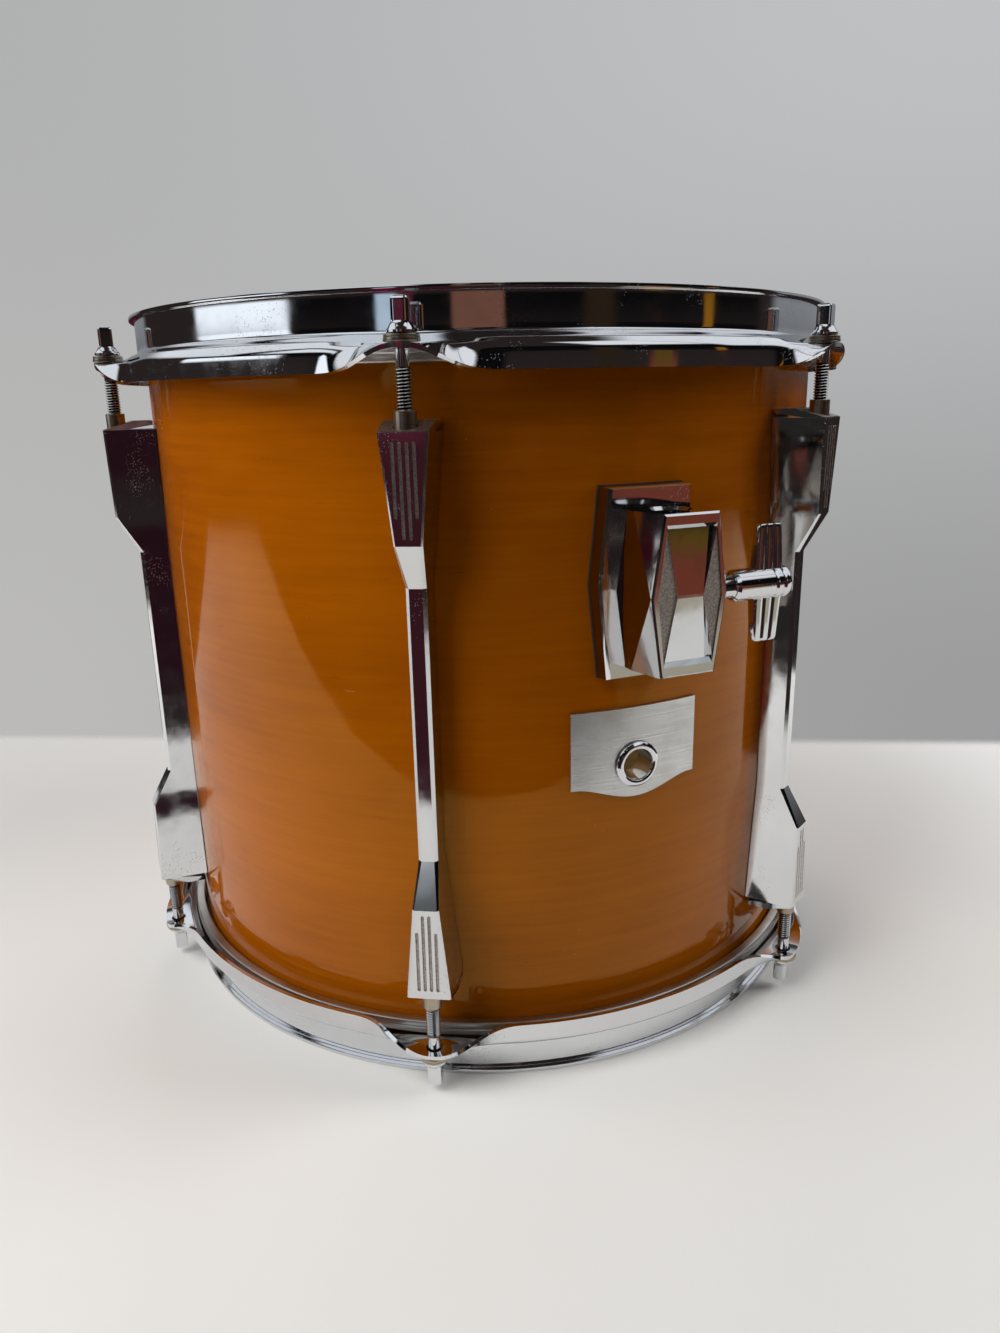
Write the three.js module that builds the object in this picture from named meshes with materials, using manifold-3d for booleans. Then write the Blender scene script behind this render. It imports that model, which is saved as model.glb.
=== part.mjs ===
// Rack tom: a bent-wood shell between two film heads, held by pressed steel hoops
// and full-length cast lugs, with a clamp bracket for a tom arm.
// Millimetres, +Z up. The origin is the centre of the batter head's playing surface.
// The bracket, badge and vent face -Y.

import * as THREE from 'three';
import { ConvexGeometry } from 'three/addons/geometries/ConvexGeometry.js';
import { mergeVertices } from 'three/addons/utils/BufferGeometryUtils.js';
import Module from 'manifold-3d';

const wasm = await Module();
wasm.setup();

// Facets of round pieces
const ringSegments = 60;
const boreSegments = 20;
const smallSegments = 10;

// Clearances
const seatGap = 0.3;
const runningClearance = 0.12;
const overrun = 2;

// Shell
const shellDiameter = 304.8;
const shellDepth = 279.4;
const shellWall = 7;
const bearingPeakInset = 1.6;

// Head film, its collar and the flesh hoop that holds it
const filmThickness = 0.25;
const filmCollarClearance = 0.5;
const filmHold = 3.8;
const fleshHoopClearance = 0.55;
const fleshHoopWidth = 4.1;
const fleshHoopHeight = 5.6;

// Pressed hoop: rim flange, wall, sloping shoulder and skirt
const hoopSheet = 1.6;
const hoopClearance = 0.65;
const hoopRimFlange = 3;
const hoopRimReach = 10;
const hoopWallDepth = 14.9;
const hoopShoulderInset = 2.5;
const hoopShoulderFall = 2.3;
const hoopBendFall = 2.4;
const hoopSkirtClearance = 4.5;
const hoopSkirtHeight = 8;

// Ears, where the hoop's skirt swings out round each tension rod
const earFall = 4.1;
const earSeatMargin = 0.4;
const earBendInset = 1.5;
const earOverhang = 6.5;
const earFlatHalfWidth = 1;
const earFlareHalfWidth = 36;
const earFlareShape = 1.3;
const earStationShares = [0, 0.3, 0.6, 1];
const hoopStepsBetweenEars = 6;
const earHoleClearance = 0.5;

// Swivel nuts
const nutRadius = 3.8;
const nutStandOut = 6.6;
const nutLength = 22.5;
const nutSocketClearance = 0.3;

// Lugs
const lugCount = 6;
const lugPhaseDegrees = 30;
const rodOffset = 4.4;
const lugEndInset = 35.5;
const lugCasingLength = 36.8;
const lugTaperLength = 15.8;
const lugFrontWall = 1.6;
const lugFootSetback = 0.7;
const lugBarDepth = 11.8;
const lugEndBackHalfWidth = 9.7;
const lugEndFrontHalfWidth = 8.5;
const lugFootBackHalfWidth = 6.2;
const lugFootFrontHalfWidth = 5;
const lugBarBackHalfWidth = 4.3;
const lugBarFrontHalfWidth = 3.7;
const lugCasingBevel = 0.7;
const lugBarBevel = 1.3;

// Tension rods
const threadRadius = 2.775;
const threadDepth = 0.325;
const shankLength = 10.1;
const rodLength = 44;
const rodFlangeRadius = 5;
const rodFlangeThickness = 1.2;
const rodConeHeight = 2.4;
const rodConeTopRadius = 3.3;
const keyHeadSide = 5.6;
const keyHeadHeight = 7.7;
const keyHeadChamfer = 0.8;

// Rod washers
const washerRadius = 6;
const washerThickness = 2.2;

// Tom bracket, set out from the tom arm's axis and from its own middle height
const bracketHeight = 49;
const armStandOff = 19.6;
const armFrontDepth = 14;
const blockChamferInset = 1;
const baseThickness = 5.8;
const baseSkirtHeight = 1;
const baseHalfHeight = 34.6;
const baseHalfWidth = 20.5;
const baseEndHalfWidth = 17;
const baseTopHalfHeight = 33.9;
const baseTopHalfWidth = 19.3;
const baseTopEndHalfWidth = 15.4;
const tierHeight = 7;
const tierHalfWidth = 17.6;
const blockHalfHeight = 27.7;
const blockHalfWidth = 16.2;
const blockEndHalfWidth = 13.6;
const blockFrontHalfWidth = 14.9;
const blockFrontEndHalfWidth = 11.1;
const blockBevel = 0.7;
const panelWaistHalfWidth = 5;
const panelEndHalfWidth = 9.8;
const panelHalfHeight = 23.5;
const panelRidgeHalfHeight = 0.5;
const panelDepth = 2.4;
const gasketThickness = 1.2;
const gasketMargin = 0.4;

// Tom arm bore and clamp
const armBoreRadius = 6.35;
const armBoreChamfer = 1.2;
const clampDrop = 1.5;
const shoeRadius = 4.8;
const shoeThickness = 2.6;
const shoeClearance = 0.2;
const boltThreadRadius = 4;
const hubStandOff = 9.8;
const hubRadius = 5.8;
const hubLength = 23.5;
const hubChamfer = 0.9;
const hubRingSpacing = 3.4;
const hubRingDepth = 0.6;
const wingTipReach = 21.5;
const wingRootHalfWidth = 6.1;
const wingTipHalfWidth = 5.1;
const wingRootHalfThickness = 2.7;
const wingTipHalfThickness = 1.6;
const wingSetback = 2.2;
const wingGrooveDepth = 0.5;
const wingGrooveHalfWidth = 0.6;

// Backing plate and bracket screws
const backingHalfWidth = 14;
const backingHalfHeight = 33;
const backingThickness = 2;
const screwRadius = 2.9;
const screwClearance = 0.3;
const screwSpacing = 44;
const screwHeadRadius = 5;
const screwHeadHeight = 3.4;
const screwEngagement = 8;
const screwBlindGap = 0.8;

// Badge and vent
const badgeHalfWidth = 27.3;
const badgeTop = 0.6;
const badgeSideHeight = 31;
const badgeBulge = 5.4;
const badgeShoulder = 7;
const badgeTurnShare = 0.33;
const badgeBellyShare = 0.33;
const badgeThickness = 0.8;
const ventDrop = 23.1;
const ventHoleRadius = 6.15;
const ventBarrelWall = 0.6;
const ventFlangeWidth = 2.55;
const ventFlangeHeight = 1.5;
const ventMouthShare = 0.6;
const ventLipWidth = 1.45;
const ventLipThickness = 0.8;
const ventSegments = 20;

// Radii out from the shell: film, flesh hoop, hoop, rods and lugs
const shellRadius = shellDiameter / 2;
const shellInnerRadius = shellRadius - shellWall;
const collarOuterRadius = shellRadius + filmCollarClearance + filmThickness;
const fleshHoopInnerRadius = collarOuterRadius + fleshHoopClearance;
const fleshHoopOuterRadius = fleshHoopInnerRadius + fleshHoopWidth;
const halfSheet = hoopSheet / 2;
const hoopWallRadius = collarOuterRadius + hoopClearance + halfSheet;
const hoopRimRadius = hoopWallRadius + hoopRimFlange;
const hoopSkirtRadius = fleshHoopOuterRadius + hoopSkirtClearance + halfSheet;
const hoopShoulderRadius = hoopSkirtRadius - hoopShoulderInset;
const rodCircleRadius = hoopSkirtRadius + rodOffset;
const earShoulderRadius = rodCircleRadius - washerRadius - earSeatMargin;
const earBendRadius = rodCircleRadius - earBendInset;
const earReachRadius = rodCircleRadius + earOverhang;
const lugFrontRadius = rodCircleRadius + nutRadius + nutSocketClearance + lugFrontWall;
const lugFootRadius = lugFrontRadius - lugFootSetback;
const lugBarRadius = shellRadius + lugBarDepth;
const shankRadius = threadRadius - threadDepth;

// Heights up from the shell's middle, and drops down from the hoop's rim
const edgeHeight = shellDepth / 2;
const rimHeight = edgeHeight + hoopRimReach;
const playingHeight = edgeHeight + seatGap + filmThickness;
const hoopShoulderDrop = hoopWallDepth + hoopShoulderFall;
const hoopBendDrop = hoopShoulderDrop + hoopBendFall;
const hoopSkirtDrop = hoopBendDrop + hoopSkirtHeight;
const earDrop = hoopWallDepth + earFall;
const earHeight = rimHeight - earDrop + halfSheet;
const flangeHeight = earHeight + washerThickness + 2 * seatGap;
const lugHalfLength = edgeHeight - lugEndInset;
const lugCasingFoot = lugHalfLength - lugCasingLength;
const lugBarEnd = lugCasingFoot - lugTaperLength;
const nutTop = lugHalfLength + nutStandOut;
const nutSocketFloor = Math.min(nutTop - nutLength, flangeHeight - rodLength) - seatGap;

// Bracket, clamp, badge and vent
const gasketInnerRadius = shellRadius + seatGap;
const gasketOuterRadius = gasketInnerRadius + gasketThickness;
const bracketSeatRadius = gasketOuterRadius + seatGap;
const baseTopRadius = bracketSeatRadius + baseThickness;
const tierTopRadius = baseTopRadius + tierHeight;
const tierFootEndHalfWidth = baseHalfWidth
  - ((baseHalfWidth - baseEndHalfWidth) * blockHalfHeight) / baseHalfHeight;
const armAxisRadius = shellRadius + armStandOff;
const bracketFrontRadius = armAxisRadius + armFrontDepth;
const blockChamferRadius = armAxisRadius - blockChamferInset;
const shoeBack = armBoreRadius + shoeThickness;
const hubInnerEnd = blockHalfWidth + hubStandOff;
const hubOuterEnd = hubInnerEnd + hubLength;
const backingOuterRadius = shellInnerRadius - seatGap;
const backingInnerRadius = backingOuterRadius - backingThickness;
const badgeInnerRadius = shellRadius + seatGap;
const badgeOuterRadius = badgeInnerRadius + badgeThickness;
const ventHeight = badgeTop - ventDrop;
const ventBarrelRadius = ventHoleRadius + ventBarrelWall;
const ventFlangeRadius = ventBarrelRadius + ventFlangeWidth;
const ventLipRadius = ventBarrelRadius + ventLipWidth;

const lugAngles = Array.from({ length: lugCount }, (_, i) =>
  THREE.MathUtils.degToRad(lugPhaseDegrees + (360 / lugCount) * i));

// Colours, roughness and metalness of the finishes
const finishes = {
  lacquer: { color: 0x9c5206, roughness: 0.22, metalness: 0 },
  chrome: { color: 0xd6d8da, roughness: 0.12, metalness: 1 },
  film: { color: 0xf1efe8, roughness: 0.65, metalness: 0 },
  aluminium: { color: 0xb4b2ac, roughness: 0.4, metalness: 1 },
  steel: { color: 0x8f8a80, roughness: 0.35, metalness: 1 },
  badge: { color: 0xbfc0bf, roughness: 0.35, metalness: 0.9 },
  rubber: { color: 0x1c1a18, roughness: 0.8, metalness: 0 },
};

// Solids: three.js geometries joined and cut

function solidOf(geometry) {
  const bare = geometry.clone();
  for (const name of Object.keys(bare.attributes)) {
    if (name !== 'position') bare.deleteAttribute(name);
  }
  const merged = mergeVertices(bare);
  const vertProperties = Float32Array.from(merged.attributes.position.array);
  const triVerts = Uint32Array.from(merged.index.array);
  const mesh = new wasm.Mesh({ numProp: 3, vertProperties, triVerts });
  return new wasm.Manifold(mesh);
}

function geometryOf(solid) {
  const mesh = solid.getMesh();
  const geometry = new THREE.BufferGeometry();
  const positions = new Float32Array(mesh.vertProperties);
  geometry.setAttribute('position', new THREE.BufferAttribute(positions, 3));
  geometry.setIndex(Array.from(mesh.triVerts));
  geometry.computeVertexNormals();
  return geometry;
}

function joined(...geometries) {
  return geometryOf(geometries.map(solidOf).reduce((sum, next) => sum.add(next)));
}

function cut(geometry, ...cutters) {
  return geometryOf(cutters.map(solidOf).reduce((rest, cutter) => rest.subtract(cutter),
    solidOf(geometry)));
}

function common(geometry, other) {
  return geometryOf(solidOf(geometry).intersect(solidOf(other)));
}

// A solid turned about Z from a profile of [radius, height] points, with a flat facet to -Y
function turned(profile, segments) {
  const points = profile.map(([radius, height]) => new THREE.Vector2(radius, height));
  const geometry = new THREE.LatheGeometry(points, segments, Math.PI / segments);
  return geometry.rotateX(Math.PI / 2);
}

// A ring turned about Z whose closed profile doesn't touch the axis
function turnedRing(profile, segments) {
  return turned([...profile, profile[0]], segments);
}

function column(radius, bottom, top, segments) {
  return turned([[0, bottom], [radius, bottom], [radius, top], [0, top]], segments);
}

// The radius whose faceted hole still clears a round piece of the given radius
function holeRadius(radius, segments) {
  return radius / Math.cos(Math.PI / segments);
}

function tube(innerRadius, outerRadius, bottom, top, segments) {
  return turnedRing([
    [innerRadius, bottom], [outerRadius, bottom], [outerRadius, top], [innerRadius, top],
  ], segments);
}

// Turns a piece made about Z so that its axis points out along -Y
function facingOut(geometry) {
  return geometry.rotateX(Math.PI / 2);
}

// Turns a piece made about Z so that its axis points along +X
function alongX(geometry) {
  return geometry.rotateY(Math.PI / 2);
}

// A closed skin over rows of points; each row is one closed loop with as many points
function skin(rows, closed) {
  const across = rows[0].length;
  const positions = rows.flat(2);
  const index = [];
  const last = closed ? rows.length : rows.length - 1;
  for (let i = 0; i < last; i += 1) {
    const next = (i + 1) % rows.length;
    for (let j = 0; j < across; j += 1) {
      const a = i * across + j;
      const b = i * across + ((j + 1) % across);
      const c = next * across + ((j + 1) % across);
      const d = next * across + j;
      index.push(a, b, c, a, c, d);
    }
  }
  if (!closed) {
    const top = (rows.length - 1) * across;
    for (let j = 1; j < across - 1; j += 1) {
      index.push(0, j + 1, j);
      index.push(top, top + j, top + j + 1);
    }
  }
  const geometry = new THREE.BufferGeometry();
  geometry.setAttribute('position', new THREE.Float32BufferAttribute(positions, 3));
  geometry.setIndex(index);
  return geometry;
}

// A convex block on its corners, given as [across, out, up] triples mirrored left and right
function mirroredBlock(corners) {
  const points = corners.flatMap(([across, out, up]) => [
    new THREE.Vector3(across, -out, up), new THREE.Vector3(-across, -out, up),
  ]);
  return new ConvexGeometry(points);
}

// The outline of a sheet of even thickness whose middle runs through the given points
function sheetOutline(path, thickness) {
  const middle = path.map(([x, y]) => new THREE.Vector2(x, y));
  const offsets = middle.map((point, i) => {
    const before = middle[Math.max(i - 1, 0)];
    const after = middle[Math.min(i + 1, middle.length - 1)];
    const inward = point.clone().sub(before).normalize();
    const outward = after.clone().sub(point).normalize();
    const along = inward.add(outward).normalize();
    const leg = (i === 0 ? after.clone().sub(point) : point.clone().sub(before)).normalize();
    const stretch = 1 / Math.max(along.dot(leg), 0.5);
    return new THREE.Vector2(-along.y, along.x).multiplyScalar((stretch * thickness) / 2);
  });
  const left = middle.map((point, i) => point.clone().add(offsets[i]).toArray());
  const right = middle.map((point, i) => point.clone().sub(offsets[i]).toArray());
  return [...left, ...right.reverse()];
}

// Shell

function shellGeometry() {
  const peak = shellRadius - bearingPeakInset;
  const bevel = shellWall - bearingPeakInset;
  const blank = turnedRing([
    [shellRadius, -edgeHeight + bearingPeakInset],
    [shellRadius, edgeHeight - bearingPeakInset],
    [peak, edgeHeight],
    [shellInnerRadius, edgeHeight - bevel],
    [shellInnerRadius, -edgeHeight + bevel],
    [peak, -edgeHeight],
  ], ringSegments);
  return cut(blank, ventCutter(), ...screwCutters(screwRadius + screwClearance, shellRadius));
}

function ventCutter() {
  const radius = holeRadius(ventBarrelRadius + seatGap, ventSegments);
  const hole = column(radius, shellInnerRadius - overrun, badgeOuterRadius + overrun, ventSegments);
  return facingOut(hole).translate(0, 0, ventHeight);
}

function screwCutters(radius, outerRadius) {
  const from = backingInnerRadius - overrun;
  return [-1, 1].map((side) => {
    const hole = column(holeRadius(radius, smallSegments), from, outerRadius + overrun, smallSegments);
    return facingOut(hole).translate(0, 0, bracketHeight + (side * screwSpacing) / 2);
  });
}

// Heads: film, flesh hoop and pressed hoop, drawn for the batter side

// The lowest drop of the shoulder's underside at a radius, at the ears or between them
function shoulderUnderside(radius) {
  const ends = [[hoopShoulderRadius, hoopShoulderDrop], [earShoulderRadius, earDrop]];
  const drops = ends.map(([endRadius, endDrop]) => {
    const slope = (endDrop - hoopWallDepth) / (endRadius - hoopWallRadius);
    return hoopWallDepth + slope * (radius - hoopWallRadius) + halfSheet * Math.hypot(1, slope);
  });
  return Math.max(...drops);
}

// The flesh hoop's top bears on the hoop's shoulder
function fleshHoopTop() {
  return rimHeight - shoulderUnderside(fleshHoopOuterRadius) - seatGap;
}

function filmGeometry() {
  const flat = edgeHeight + seatGap + filmThickness / 2;
  const collar = shellRadius + filmCollarClearance + filmThickness / 2;
  const profile = sheetOutline([
    [0, flat],
    [collar, flat],
    [collar, fleshHoopTop() - filmHold],
  ], filmThickness);
  return turned(profile.reverse(), ringSegments);
}

function fleshHoopGeometry() {
  const top = fleshHoopTop();
  return tube(fleshHoopInnerRadius, fleshHoopOuterRadius, top - fleshHoopHeight, top, ringSegments);
}

// How far the skirt has turned out into the ear: 1 at the rod, 0 past the flare
function earShare(distance) {
  const run = (distance - earFlatHalfWidth) / (earFlareHalfWidth - earFlatHalfWidth);
  const t = THREE.MathUtils.clamp(run, 0, 1);
  return ((1 + Math.cos(Math.PI * t)) / 2) ** earFlareShape;
}

// The hoop's section at a station: rim, wall, shoulder, and a skirt that swings out into the ear
function hoopSection(share) {
  const blend = (plain, ear) => THREE.MathUtils.lerp(plain, ear, share);
  const bend = [blend(hoopSkirtRadius, earBendRadius), blend(hoopBendDrop, earDrop)];
  const turn = (Math.PI / 2) * (1 - share);
  const length = blend(hoopSkirtHeight, earReachRadius - earBendRadius);
  const path = [
    [hoopRimRadius, halfSheet],
    [hoopWallRadius, halfSheet],
    [hoopWallRadius, hoopWallDepth],
    [blend(hoopShoulderRadius, earShoulderRadius), blend(hoopShoulderDrop, earDrop)],
    bend,
    [bend[0] + length * Math.cos(turn), bend[1] + length * Math.sin(turn)],
  ];
  return sheetOutline(path, hoopSheet).reverse();
}

// Stations round the hoop: close together over each ear, wider between the ears
function hoopStations() {
  const pitch = (2 * Math.PI) / lugCount;
  const flare = earFlareHalfWidth / rodCircleRadius;
  const plain = (pitch - 2 * flare) / hoopStepsBetweenEars;
  const near = earStationShares.map((share) => share * flare);
  const left = near.slice(1).reverse().map((angle) => -angle);
  const between = Array.from({ length: hoopStepsBetweenEars - 1 }, (_, i) => flare + plain * (i + 1));
  const one = [...left, ...near, ...between];
  return lugAngles.flatMap((centre) => one.map((angle) => ({
    angle: centre + angle,
    share: earShare(Math.abs(angle) * rodCircleRadius),
  })));
}

function hoopGeometry() {
  const rows = hoopStations().map(({ angle, share }) => hoopSection(share).map(([radius, drop]) => [
    radius * Math.sin(angle), -radius * Math.cos(angle), rimHeight - drop,
  ]));
  const radius = holeRadius(threadRadius + earHoleClearance, smallSegments);
  const bottom = rimHeight - hoopSkirtDrop;
  const holes = lugAngles.map((angle) => column(radius, bottom, rimHeight, smallSegments)
    .translate(0, -rodCircleRadius, 0).rotateZ(angle));
  return cut(skin(rows, true), ...holes);
}

// Lug: a casing at each end and a slim bar between, lofted along Z

function lugRow(height, backHalfWidth, frontHalfWidth, frontRadius, bevel) {
  const backRadius = shellRadius - overrun;
  const flank = frontHalfWidth - bevel;
  const half = [[backHalfWidth, backRadius], [frontHalfWidth, frontRadius - bevel], [flank, frontRadius]];
  const left = half.map(([across, out]) => [-across, out]);
  return [...left, ...half.reverse()].map(([across, out]) => [across, -out, height]);
}

function lugBlank() {
  const casing = [
    [lugHalfLength, lugEndBackHalfWidth, lugEndFrontHalfWidth, lugFrontRadius, lugCasingBevel],
    [lugCasingFoot, lugFootBackHalfWidth, lugFootFrontHalfWidth, lugFootRadius, lugCasingBevel],
    [lugBarEnd, lugBarBackHalfWidth, lugBarFrontHalfWidth, lugBarRadius, lugBarBevel],
  ];
  const lower = casing.map(([height, ...rest]) => lugRow(-height, ...rest));
  const upper = casing.map((row) => lugRow(...row)).reverse();
  return skin([...lower, ...upper], false);
}

function lugGeometry() {
  const shellSpace = column(shellRadius + seatGap, -rimHeight, rimHeight, ringSegments);
  const socketRadius = holeRadius(nutRadius + nutSocketClearance, smallSegments);
  const socket = column(socketRadius, nutSocketFloor, lugHalfLength + overrun, smallSegments)
    .translate(0, -rodCircleRadius, 0);
  return cut(lugBlank(), shellSpace, socket, socket.clone().rotateY(Math.PI));
}

// Swivel nut, tension rod and washer, drawn on the drum's axis for the batter side

function nutGeometry() {
  const inner = holeRadius(threadRadius + runningClearance, smallSegments);
  return tube(inner, nutRadius, nutTop - nutLength, nutTop, smallSegments);
}

function rodGeometry() {
  const flangeTop = flangeHeight + rodFlangeThickness;
  const coneTop = flangeTop + rodConeHeight;
  const body = turned([
    [0, flangeHeight - rodLength],
    [threadRadius, flangeHeight - rodLength],
    [threadRadius, flangeHeight - shankLength],
    [shankRadius, flangeHeight - shankLength],
    [shankRadius, flangeHeight],
    [rodFlangeRadius, flangeHeight],
    [rodFlangeRadius, flangeTop],
    [rodConeTopRadius, coneTop],
    [0, coneTop],
  ], smallSegments);
  const corner = keyHeadSide / Math.SQRT2;
  const headTop = coneTop + keyHeadHeight;
  const head = turned([
    [0, flangeTop],
    [corner, flangeTop],
    [corner, headTop - keyHeadChamfer],
    [corner - keyHeadChamfer, headTop],
    [0, headTop],
  ], 4);
  return joined(body, common(head, column(hoopRimRadius, flangeTop, rimHeight, 4)));
}

function washerGeometry() {
  const inner = holeRadius(threadRadius + earHoleClearance, smallSegments);
  const bottom = earHeight + seatGap;
  return tube(inner, washerRadius, bottom, bottom + washerThickness, smallSegments);
}

// Tom bracket: hexagonal base, raised tier, and a faceted block with an hourglass panel,
// the arm bore and the clamp bore

function hexagon(out, halfHeight, halfWidth, endHalfWidth) {
  return [
    [endHalfWidth, out, halfHeight], [halfWidth, out, 0], [endHalfWidth, out, -halfHeight],
  ];
}

function bracketBase() {
  const skirtTop = bracketSeatRadius + baseSkirtHeight;
  return mirroredBlock([
    ...hexagon(shellRadius - 2 * overrun, baseHalfHeight, baseHalfWidth, baseEndHalfWidth),
    ...hexagon(skirtTop, baseHalfHeight, baseHalfWidth, baseEndHalfWidth),
    ...hexagon(baseTopRadius, baseTopHalfHeight, baseTopHalfWidth, baseTopEndHalfWidth),
  ]);
}

// The tier's steep sides go on from the base's skirt; the base's ends stand lower
function bracketTier() {
  return mirroredBlock([
    ...hexagon(bracketSeatRadius + baseSkirtHeight, blockHalfHeight, baseHalfWidth, tierFootEndHalfWidth),
    ...hexagon(tierTopRadius, blockHalfHeight, tierHalfWidth, blockEndHalfWidth),
  ]);
}

function bracketBlock() {
  const corners = [1, -1].flatMap((side) => [
    [blockEndHalfWidth, tierTopRadius - overrun, side * blockHalfHeight],
    [blockEndHalfWidth, blockChamferRadius, side * blockHalfHeight],
    [blockFrontEndHalfWidth, bracketFrontRadius - blockBevel, side * blockHalfHeight],
    [blockFrontEndHalfWidth - blockBevel, bracketFrontRadius, side * (blockHalfHeight - blockBevel)],
  ]);
  return mirroredBlock([
    ...corners,
    [blockHalfWidth, tierTopRadius - overrun, 0],
    [blockFrontHalfWidth, bracketFrontRadius - blockBevel, 0],
    [blockFrontHalfWidth - blockBevel, bracketFrontRadius, 0],
  ]);
}

// The panel's two scoops deepen from the ridge at the waist to the panel's ends
function panelCutters() {
  return [1, -1].map((side) => mirroredBlock([
    [panelWaistHalfWidth, bracketFrontRadius, side * panelRidgeHalfHeight],
    [panelWaistHalfWidth, bracketFrontRadius + overrun, side * panelRidgeHalfHeight],
    [panelEndHalfWidth, bracketFrontRadius + overrun, side * panelHalfHeight],
    [panelEndHalfWidth, bracketFrontRadius - panelDepth, side * panelHalfHeight],
  ]));
}

function armBoreCutter() {
  const mouth = armBoreRadius + armBoreChamfer + overrun;
  const end = blockHalfHeight + overrun;
  const throat = blockHalfHeight - armBoreChamfer;
  return turned([
    [0, -end], [mouth, -end], [armBoreRadius, -throat],
    [armBoreRadius, throat], [mouth, end], [0, end],
  ], boreSegments).translate(0, -armAxisRadius, 0);
}

// The shoe's pocket opens into the arm bore; the bolt's threaded hole goes on to the right side
function clampCutters() {
  const pocketEnd = shoeBack + seatGap;
  const pocket = column(holeRadius(shoeRadius + shoeClearance, boreSegments), 0, pocketEnd, boreSegments);
  const threadHole = column(holeRadius(boltThreadRadius + runningClearance, boreSegments),
    0, baseHalfWidth + overrun, boreSegments);
  return [pocket, threadHole].map((hole) => alongX(hole).translate(0, -armAxisRadius, -clampDrop));
}

function bracketGeometry() {
  const seat = column(bracketSeatRadius, -rimHeight, rimHeight, ringSegments);
  const blank = joined(bracketBase(), bracketTier(), bracketBlock());
  const body = cut(blank, seat, armBoreCutter(), ...clampCutters(), ...panelCutters())
    .translate(0, 0, bracketHeight);
  const tapped = screwCutters(screwRadius + runningClearance,
    bracketSeatRadius + screwEngagement + screwBlindGap - overrun);
  return cut(body, ...tapped);
}

// A curved plate between two radii with the outline of the bracket's base or any other block
function curvedPlate(block, innerRadius, outerRadius) {
  const ring = tube(innerRadius, outerRadius, -rimHeight, rimHeight, ringSegments);
  return common(block, ring);
}

function gasketGeometry() {
  const corners = [shellInnerRadius, baseTopRadius].flatMap((out) => [
    [baseEndHalfWidth + gasketMargin, out, baseHalfHeight + gasketMargin],
    [baseHalfWidth + gasketMargin, out, 0],
    [baseEndHalfWidth + gasketMargin, out, -baseHalfHeight - gasketMargin],
  ]);
  const plate = curvedPlate(mirroredBlock(corners), gasketInnerRadius, gasketOuterRadius);
  const holes = screwCutters(screwRadius + screwClearance, gasketOuterRadius);
  return cut(plate.translate(0, 0, bracketHeight), ...holes);
}

function backingPlateGeometry() {
  const corners = [backingInnerRadius - backingHalfWidth, shellInnerRadius].flatMap((out) => [
    [backingHalfWidth, out, backingHalfHeight], [backingHalfWidth, out, -backingHalfHeight],
  ]);
  const plate = curvedPlate(mirroredBlock(corners), backingInnerRadius, backingOuterRadius);
  const holes = screwCutters(screwRadius + screwClearance, backingOuterRadius);
  return cut(plate.translate(0, 0, bracketHeight), ...holes);
}

function bracketScrewGeometry() {
  const seat = backingInnerRadius * Math.cos(Math.PI / ringSegments) - seatGap;
  const head = seat - screwHeadHeight;
  const end = bracketSeatRadius + screwEngagement;
  return facingOut(turned([
    [0, head], [screwHeadRadius, head], [screwHeadRadius, seat],
    [screwRadius, seat], [screwRadius, end], [0, end],
  ], smallSegments));
}

// Clamp: a shoe with a hollow face in the arm bore's wall, and the wing bolt that pushes it

function shoeGeometry() {
  const disc = alongX(column(shoeRadius, 0, shoeBack, boreSegments));
  const bore = column(armBoreRadius, -blockHalfHeight, blockHalfHeight, boreSegments);
  return cut(disc, bore).translate(0, -armAxisRadius, bracketHeight - clampDrop);
}

// Thread and hub turned about Z, with two ring grooves near the hub's outer end
function hubGeometry() {
  const tip = shoeBack + seatGap;
  const ringAt = (place) => [
    [hubRadius, place - hubRingDepth], [hubRadius - hubRingDepth, place], [hubRadius, place + hubRingDepth],
  ];
  return turned([
    [0, tip],
    [boltThreadRadius, tip],
    [boltThreadRadius, hubInnerEnd],
    [hubRadius - hubChamfer, hubInnerEnd],
    [hubRadius, hubInnerEnd + hubChamfer],
    ...ringAt(hubOuterEnd - 2 * hubRingSpacing),
    ...ringAt(hubOuterEnd - hubRingSpacing),
    [hubRadius, hubOuterEnd - hubChamfer],
    [hubRadius - hubChamfer, hubOuterEnd],
    [0, hubOuterEnd],
  ], smallSegments);
}

// One row of a wing's section: two grooves on each broad side leave three ribs
function wingRow(height, centre, halfWidth, halfThickness) {
  const groove = (place) => [
    [place - wingGrooveHalfWidth, halfThickness],
    [place, halfThickness - wingGrooveDepth],
    [place + wingGrooveHalfWidth, halfThickness],
  ];
  const broad = [
    [-halfWidth, halfThickness], ...groove(-halfWidth / 3), ...groove(halfWidth / 3),
    [halfWidth, halfThickness],
  ];
  const back = broad.map(([along, thick]) => [-along, -thick]);
  return [...broad, ...back].reverse().map(([along, thick]) => [centre + along, thick, height]);
}

function wingGeometry() {
  const middle = hubOuterEnd - wingSetback - wingRootHalfWidth;
  return skin([
    wingRow(0, middle, wingRootHalfWidth, wingRootHalfThickness),
    wingRow(wingTipReach, middle, wingTipHalfWidth, wingTipHalfThickness),
  ], false);
}

function wingBoltGeometry() {
  const upper = wingGeometry();
  const lower = wingGeometry().rotateX(Math.PI);
  const handle = joined(alongX(hubGeometry()), upper, lower);
  return handle.translate(0, -armAxisRadius, bracketHeight - clampDrop);
}

// Badge: a thin curved plate with a bulged lower edge; vent: an eyelet through badge and shell

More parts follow.
